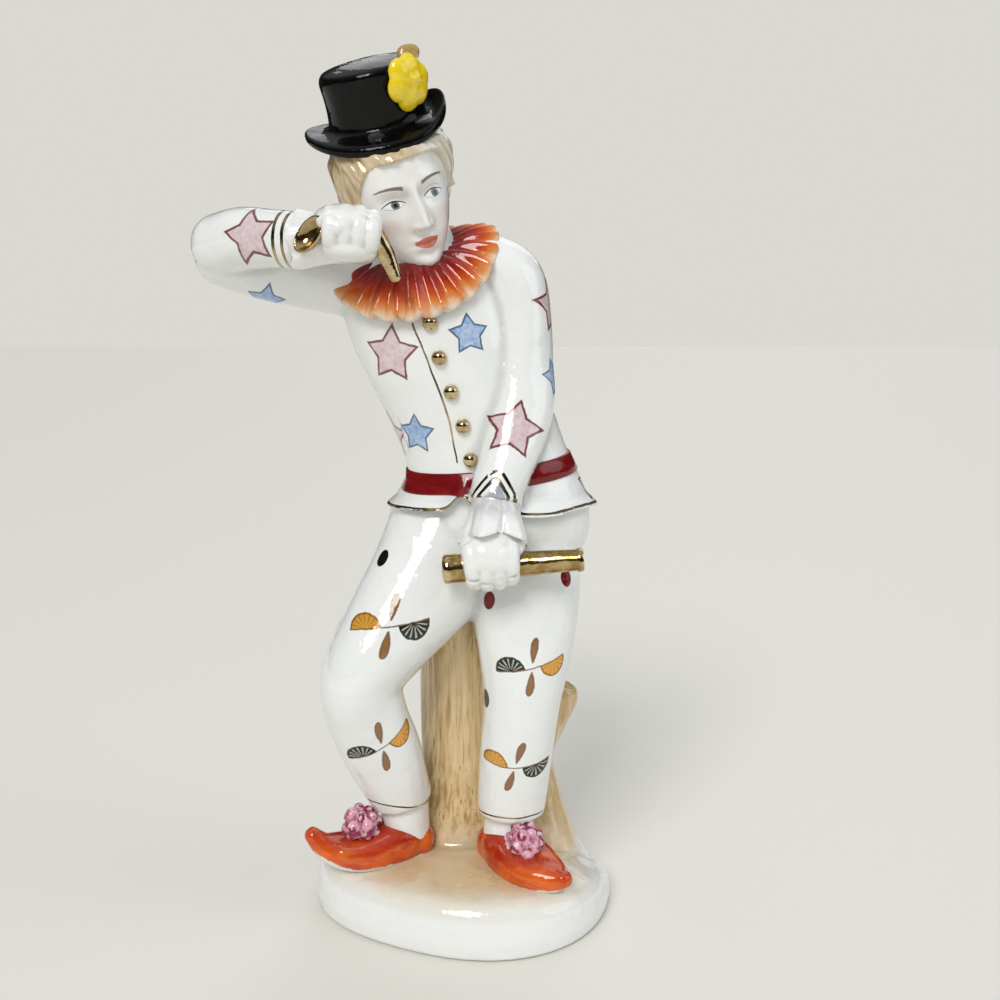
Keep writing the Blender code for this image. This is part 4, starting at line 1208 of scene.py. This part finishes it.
red_wash = glazed("collar_wash", collar_paint, gloss=0.08, pooling_and_shade=0.5, ripple=0.8, coat=0.10)
collar = grown("collar", collar_tree(), COLLAR)
collar.data.transform(set_at(at(-14.6, -3.4, 196.4), (20, -10, 0)))
sewing = bmesh.new()
sewing.from_mesh(collar.data)
bmesh.ops.recalc_face_normals(sewing, faces=sewing.faces)
sewing.to_mesh(collar.data)
sewing.free()
rounding = collar.modifiers.new("fired_edge", "SMOOTH")
rounding.factor = 0.5
rounding.iterations = 4
plain_mesh(collar)
note_creases(collar, 0.5)
dress(collar)


# The gloves, closed hands with flaring gauntlets. They are porcelain, cast with the arms, and are
# left white under the glaze, with thin grey streaks at the lower wrist.


def tube(name, points, radius, place):
    rows = smooth_path(points, 5) * MM
    last = len(rows) - 1
    rings = []
    for i, row in enumerate(rows):
        along = Vector(rows[min(i + 1, last)] - rows[max(i - 1, 0)]).normalized()
        side = along.orthogonal().normalized()
        ends = [(0.4, -0.9), (0.8, -0.6)] if i == 0 else []
        ends += [(1.0, 0.0)] + ([(0.8, 0.6), (0.4, 0.9)] if i == last else [])
        for swell, shift in ends:
            rings.append((Vector(row) + along * shift * radius * MM, side, side.cross(along), swell))

    def spot(ring, turn):
        middle, side, deep, swell = ring
        return place @ (middle + (side * cos(turn) + deep * sin(turn)) * radius * MM * swell)

    return ring_body(name, rings, 20, spot)


def fist(name, centre, turn, thumb_side, tall=1.0):
    """A palm, four fingers bent round what it holds, and a thumb laid across them."""
    place = set_at(at(*centre), turn)
    made = [ball(f"{name}_palm", at(*centre), (8.8, 6.8, 7.2 * tall), turn)]
    for k in range(4):
        across = (k - 1.5) * 3.95
        length = (6.6, 7.4, 7.2, 6.2)[k if thumb_side > 0 else 3 - k]
        points = []
        for bend in map(radians, (-70, -35, 0, 35, 70, 105)):
            points.append((across * (1 - 0.06 * sin(bend)), -6.3 * cos(bend),
                           -length * tall * sin(bend)))
        made.append(tube(f"{name}_finger", points, 2.75, place))
    thumb = [(thumb_side * 4, 5, 5), (thumb_side * 8.2, 1, 4), (thumb_side * 7.6, -4.6, 2.2),
             (thumb_side * 3.6, -7.4, 1.2)]
    return made + [tube(f"{name}_thumb", thumb, 2.35, place)]


def gauntlet(name, wrist, rim, wrist_radius, rim_radius, wave, phase):
    """A flaring cuff with an open rim in five flaps, turned back a little inside."""
    wrist, rim = at(*wrist), at(*rim)
    along = (rim - wrist).normalized()
    side = along.cross(FRONT).normalized()
    deep = side.cross(along)
    profile = ((-0.35, 0.0), (-0.2, 0.05), (0, 0.0), (0.25, 0.2), (0.5, 0.5), (0.75, 0.85),
               (0.92, 1.04), (1.0, 1.05), (1.02, 0.9), (0.92, 0.6), (0.75, 0.3))

    def spot(row, turn):
        share, swell = row
        flap = cos(5 * turn + phase)
        radius = wrist_radius + (rim_radius - wrist_radius) * swell
        radius += (wave * flap - 1.1 * max(-flap, 0) ** 4 + 0.15 * sin(17 * turn)) * swell
        middle = wrist.lerp(rim, share) + along * MM * flap * swell
        return middle + (side * cos(turn) + deep * 0.95 * sin(turn)) * radius * MM

    return ring_body(name, profile, 72, spot)


def glove_paint(skin):
    x, y, z = skin.place
    up = z - MOUND_TOP
    wrist = up.above(120.5, 4.0) * up.below(130.0, 4.0) * x.above(0.0, 4.0)
    streak = skin.cloud(0.5, stretch=(1, 1, 0.25)).above(0.42, 0.3)
    skin.colour = (0.84, 0.845, 0.83, 1)
    skin.over(wrist * streak * 0.55, (0.33, 0.33, 0.36, 1))


raised_turn = (8, 6, 8)
raised_glove = slip("raised_glove", fist("raised_fist", (-31.5, -26, 203.6), raised_turn, -1, 0.82) + [
    ball("back_of_raised_hand", at(-32.6, -25.9, 207.0), (9.6, 8.8, 4.8), raised_turn),
    ball("heel_of_raised_hand", at(-32.0, -26.2, 199.2), (9.0, 8.0, 4.6), raised_turn),
    limb("raised_wrist", [(-33, -25.6, 202.3, 7.2), (-46.4, -21.3, 201.9, 7.3)]),
    gauntlet("raised_cuff", (-36.5, -24.6, 201.6), (-47.4, -20.8, 201.8), 6.9, 8.6, 0.6, -1.0)], 0.42, 10)
lower_glove = slip("lower_glove", fist("lower_fist", (9.5, -27, 106.2), (-12, -5, 2), 1) + [
    limb("back_of_lower_hand", [
        (10.6, -26.4, 116, 6.8, 5.6), (10.0, -27.6, 111.4, 8.0, 6.8), (9.4, -28.4, 107.6, 9.1, 8.2),
        (9.2, -28.0, 104.6, 8.8, 7.6)], square=0.78),
    gauntlet("lower_cuff", (10.9, -22.4, 122.4), (10.6, -27.0, 111.6), 7.6, 10.3, 1.1, 0.35)], 0.42, 6)
white_glaze = glazed("white_glove", glove_paint, gloss=0.12, pooling_and_shade=0.65, ripple=0.6, coat=0.3)
for glove in (raised_glove, lower_glove):
    dress(glove, white_glaze)


# The baton in the lower hand and the small horn in the raised one, cast in place and gilded
# with bright gold over the glaze.

BATON_LENGTH = 0.0430
BATON_THICK_RADIUS = 0.0046
BATON_THIN_RADIUS = 0.0033


def gold_paint(skin):
    worn = skin.cloud(0.30, detail=5.0)
    skin.colour = (0.46, 0.34, 0.18, 1)
    skin.over(worn.above(0.52, 0.18), (0.70, 0.56, 0.33, 1))
    skin.over(skin.cloud(1.4).above(0.62, 0.10) * 0.35, (0.20, 0.13, 0.06, 1))
    skin.rough = worn * 0.08


bright_gold = glazed("bright_gold", gold_paint, gloss=0.03, pooling_and_shade=0.6, metal=1.0, coat=0.0)


def turned_rod():
    half = BATON_LENGTH / 2
    thick, thin = BATON_THICK_RADIUS, BATON_THIN_RADIUS
    outline = [(0.5 * thick, -half), (0.85 * thick, -half), (thick, -half + 0.0006),
               (thick, -half + 0.002), (0.97 * thick, -half + 0.003), (0.5 * (thick + thin), 0),
               (thin, half - 0.0022), (1.1 * thin, half - 0.0016), (1.12 * thin, half - 0.0006),
               (1.0 * thin, half), (0.80 * thin, half), (0.7 * thin, half - 0.0010),
               (0.3 * thin, half - 0.0013)]
    place = Matrix.Translation(at(16.2, -27.5, 104.6)) @ Matrix.Rotation(radians(86), 4, "Y")
    return ring_body("baton", outline, 72, lambda row, turn: place @ Vector(
        (row[0] * cos(turn), row[0] * sin(turn), row[1])))


def dish(name, centre, facing, long_way, half_long, half_wide, deep):
    """The open mouth of the horn, an oval bowl with a rounded lip."""
    facing = Vector(facing).normalized()
    long_way = Vector(long_way)
    long_way = (long_way - facing * long_way.dot(facing)).normalized()
    wide_way = facing.cross(long_way)
    outline = [(0.35, -1.5), (0.7, -1.1), (0.92, -0.55), (1.0, 0.0), (0.98, 0.16), (0.92, 0.2),
               (0.84, 0.05), (0.66, -0.4), (0.42, -0.72), (0.15, -0.85)]

    def spot(row, turn):
        reach, height = row
        return at(*centre) + (long_way * cos(turn) * half_long * reach
                              + wide_way * sin(turn) * half_wide * reach
                              + facing * height * deep) * MM

    return ring_body(name, smooth_path(outline, 3), 64, spot)


baton = turned_rod()
note_creases(baton, 0.5)
baton.data.set_sharp_from_angle(angle=radians(50))
horn = slip("horn", [
    dish("bell", (-42.9, -32.4, 202.6), (-0.42, -0.86, 0.28), (0.6, 0, 0.8), 6.2, 4.0, 2.4),
    limb("horn", [(-40.2, -27.4, 203.0, 3.2), (-37.4, -27.2, 203.8, 3.2), (-33, -27.6, 205.2, 3),
                  (-26, -28, 204.5, 3), (-21.5, -28, 198, 2.7, 2.5), (-18.4, -28, 190.5, 1.8, 1.6)]),
], 0.36, 2)
for gilded in (baton, horn):
    dress(gilded, bright_gold)


# The beads that button the jacket. They are small drops of porcelain clay, stuck down its front
# in a row before the firing, and gilded over the glaze.

BUTTON_COUNT = 5
BEAD = {"Radius": 0.0024}
BUTTON_TOP = 177.5
BUTTON_BOTTOM = 135.5


def button_tree():
    tree, given, out = pattern("bead_row", BEAD)
    spots = put(tree, "GeometryNodeMeshToPoints", Mesh=given["Geometry"])
    bead = put(tree, "GeometryNodeMeshUVSphere", Segments=32, Rings=20, Radius=given["Radius"])
    put_on = put(tree, "GeometryNodeInstanceOnPoints", Points=spots[0], Instance=bead[0])
    return finish_tree(tree, put_on[0], out, bright_gold)


def bead_places():
    rows = smooth_path(torso, 8)
    bm = bmesh.new()
    for height in np.linspace(BUTTON_TOP, BUTTON_BOTTOM, BUTTON_COUNT):
        row = rows[np.argmin(abs(rows[:, 2] - height))]
        across = -0.1 * (BUTTON_TOP - height)
        front = row[1] - row[4] * sqrt(1 - (across / row[3]) ** 2) - 0.5
        bm.verts.new(at(row[0] + across, front, height))
    return new_piece("buttons", bm)


buttons = grown("buttons", button_tree(), BEAD, bead_places())
note_creases(buttons, 0.5)
dress(buttons)


# The slippers, with curled toes. They are porcelain, cast with the ankles and fused to the
# mound, and painted orange-red, with the edges of the soles left white.


def slipper(name, heel, way, lift):
    stations = []
    for along, rise, wide, tall in (
        (0.04, 5.4, 6.4, 6.4), (0.20, 6.0, 8.8, 7.4), (0.42, 5.2, 10.2, 6.6),
        (0.60, 4.4 + 0.05 * lift, 9.8, 5.6), (0.75, 4.2 + 0.20 * lift, 8.0, 5.0),
        (0.88, 4.0 + 0.52 * lift, 5.4, 3.9), (0.98, 4.2 + lift, 2.9, 2.6),
    ):
        spot = heel + way * along
        stations.append((spot.x, spot.y, spot.z + rise, wide, tall))
    return slip(name, [limb(name, stations, front=Vector((0, 0, 1)), square=0.78)], 0.55, 3)


def above_sole(spot, heel, way, lift):
    """How high a point of the slipper stands over its curled sole, as a share of its depth."""
    spot = spot * 1000 - Vector((0, 0, MOUND_TOP))
    along = max(0.0, min(1.0, (spot - heel).dot(way) / way.length_squared))
    return (spot.z - lift * max(0.0, along - 0.6) ** 1.5 * 3.0 - way.z * along) / 9.0


def slipper_paint(skin):
    lift = skin.number("lift")
    brush = skin.cloud(0.13, stretch=(0.5, 1.2, 1), detail=4.0)
    ragged = lift + (skin.cloud(0.4) - 0.5) * 0.22
    thin = skin.cloud(0.25, stretch=(0.4, 1.2, 1), detail=5.0).above(0.60, 0.2)
    skin.colour = (0.74, 0.13, 0.012, 1)
    skin.over(brush.above(0.5, 0.30), (0.46, 0.032, 0.008, 1))
    skin.over(thin * 0.35, (0.84, 0.30, 0.05, 1))
    skin.over(lift.above(0.85, 0.35) * brush.above(0.40, 0.25) * 0.8, (0.36, 0.018, 0.006, 1))
    skin.over(ragged.below(0.23, 0.07), (0.82, 0.79, 0.73, 1))


orange_enamel = glazed("orange_enamel", slipper_paint, gloss=0.04, pooling_and_shade=0.45, coat=0.15)
for name, heel, toe, lift in (("right_slipper", (-14.5, -4.5, 0), (-50, -17.5, -0.5), 8.5),
                              ("left_slipper", (9.5, -7, 0), (33, -31.5, -3), 2.5)):
    heel = Vector(heel)
    way = Vector(toe) - heel
    shoe = slipper(name, heel, way, lift)
    note(shoe.data, "lift", [above_sole(v.co, heel, way, lift) for v in shoe.data.vertices])
    dress(shoe, orange_enamel)


# The bobbles on the slippers. They are balls of clay rolled in small crumbs of clay, stuck on
# before the firing, and painted pink and crimson.

BOBBLE = {"Radius": 0.0064, "Crumb Radius": 0.0018, "Crumb Spacing": 0.0029, "Seed": 4}


def bobble_paint(skin):
    skin.colour = (0.70, 0.33, 0.44, 1)
    skin.over(skin.cloud(0.28, detail=2.0).above(0.51, 0.10), (0.26, 0.010, 0.06, 1))
    # Pale pink patches, painted highlights on the lumps
    skin.over(skin.cloud(0.55, detail=1.0).above(0.58, 0.10) * 0.8, (0.82, 0.62, 0.66, 1))
    # Dark crimson in the creases between the crumbs, a painted shade
    skin.over(skin.number("crease") * 0.6, (0.26, 0.012, 0.05, 1))


crimson_wash = glazed("bobble_wash", bobble_paint, gloss=0.08, pooling_and_shade=0.4)


def bobble_tree():
    tree, given, out = pattern("crumb_ball", BOBBLE)
    core = put(tree, "GeometryNodeMeshIcoSphere", Radius=given["Radius"], Subdivisions=5)
    small = put(tree, "GeometryNodeScaleElements", Geometry=core[0], Scale=0.80)
    spots = put(tree, "GeometryNodeDistributePointsOnFaces", {"distribute_method": "POISSON"},
                Mesh=small[0], DistanceMin=given["Crumb Spacing"], DensityMax=400000.0,
                Seed=given["Seed"])
    crumb = put(tree, "GeometryNodeMeshIcoSphere", Radius=given["Crumb Radius"], Subdivisions=3)
    rolled = put(tree, "FunctionNodeRandomValue", {"data_type": "FLOAT"}, Min=0.75, Max=1.35,
                 Seed=given["Seed"])
    put_on = put(tree, "GeometryNodeInstanceOnPoints", Points=spots[0], Scale=rolled[1],
                 Instance=crumb[0], Rotation=spots["Rotation"])
    return finish_tree(tree, both_of(tree, put_on, small)[0], out, crimson_wash)


crumb_ball = bobble_tree()
for name, centre, seed in (("right_bobble", (-33.5, -12.5, 13.8), 4),
                           ("left_bobble", (20.2, -19, 11.2), 9)):
    crumbs = grown(name, crumb_ball, {**BOBBLE, "Seed": seed})
    crumbs.data.transform(Matrix.Translation(at(*centre)))
    dress(slip(name, [crumbs], 0.36, 10), crimson_wash)


# The table top that the figurine stands on, a plain pale board, with the studio lights and the
# camera, which is set where the photograph was taken from.

bpy.ops.mesh.primitive_plane_add(size=60)
table_top = bpy.context.object
table_top.name = "table_top"
pale = bpy.data.materials.new("pale_table")
pale.use_nodes = True
pale_shader = pale.node_tree.nodes["Principled BSDF"].inputs
pale_shader["Base Color"].default_value = (0.78, 0.76, 0.70, 1)
pale_shader["Roughness"].default_value = 0.6
table_top.data.materials.append(pale)


def studio_light(name, comes_from, spread, power, tint, mirrored=True):
    light = bpy.data.lights.new(name, "SUN")
    light.angle = radians(spread)
    light.energy = power
    light.color = tint
    holder = bpy.data.objects.new(name, light)
    bpy.context.scene.collection.objects.link(holder)
    holder.rotation_euler = Vector(comes_from).to_track_quat("Z", "Y").to_euler()
    holder.visible_glossy = mirrored


studio_light("key", (-0.30, -0.80, 0.75), 24, 1.45, (1.0, 0.985, 0.96))
studio_light("front", (0.05, -1.0, 0.12), 60, 0.45, (0.97, 0.985, 1.0), mirrored=False)
studio_light("small", (-0.15, -0.85, 0.62), 3, 0.14, (1.0, 0.99, 0.97))
studio_light("side", (1.0, -0.25, 0.55), 40, 0.45, (0.92, 0.96, 1.0))
studio_light("back", (0.2, 0.9, 0.8), 50, 0.5, (1.0, 1.0, 1.0))

# The room: pale where the camera sees it, and dark around the lights in what the glaze and the
# gilding reflect
world = bpy.data.worlds.new("studio")
world.use_nodes = True
sky = world.node_tree
above = put(sky, "ShaderNodeTexCoord")["Generated"]
height = Field(sky, put(sky, "ShaderNodeSeparateXYZ", Vector=above)[2])
path = put(sky, "ShaderNodeLightPath")
lit = height.sum("MULTIPLY_ADD", 0.9, 0.1, clamp=True) ** 0.8
room = blend(sky, lit, (0.06, 0.058, 0.052, 1), (0.58, 0.60, 0.62, 1))
mirrored = blend(sky, height.above(0.72, 0.5), (0.035, 0.033, 0.03, 1), (0.62, 0.63, 0.64, 1))
room = blend(sky, path["Is Glossy Ray"], room, mirrored)
room = blend(sky, path["Is Camera Ray"], room, (0.70, 0.69, 0.64, 1))
join(sky, room, sky.nodes["Background"].inputs[0])
bpy.context.scene.world = world
bpy.context.scene.view_settings.view_transform = "Standard"

camera = bpy.data.cameras.new("camera")
camera.lens = 39
camera.sensor_width = 36
eye = bpy.data.objects.new("camera", camera)
bpy.context.scene.collection.objects.link(eye)
eye.location = (0.0122, -0.352, 0.1904)
eye.rotation_euler = (radians(90 - 8.4), 0, 0)
bpy.context.scene.camera = eye
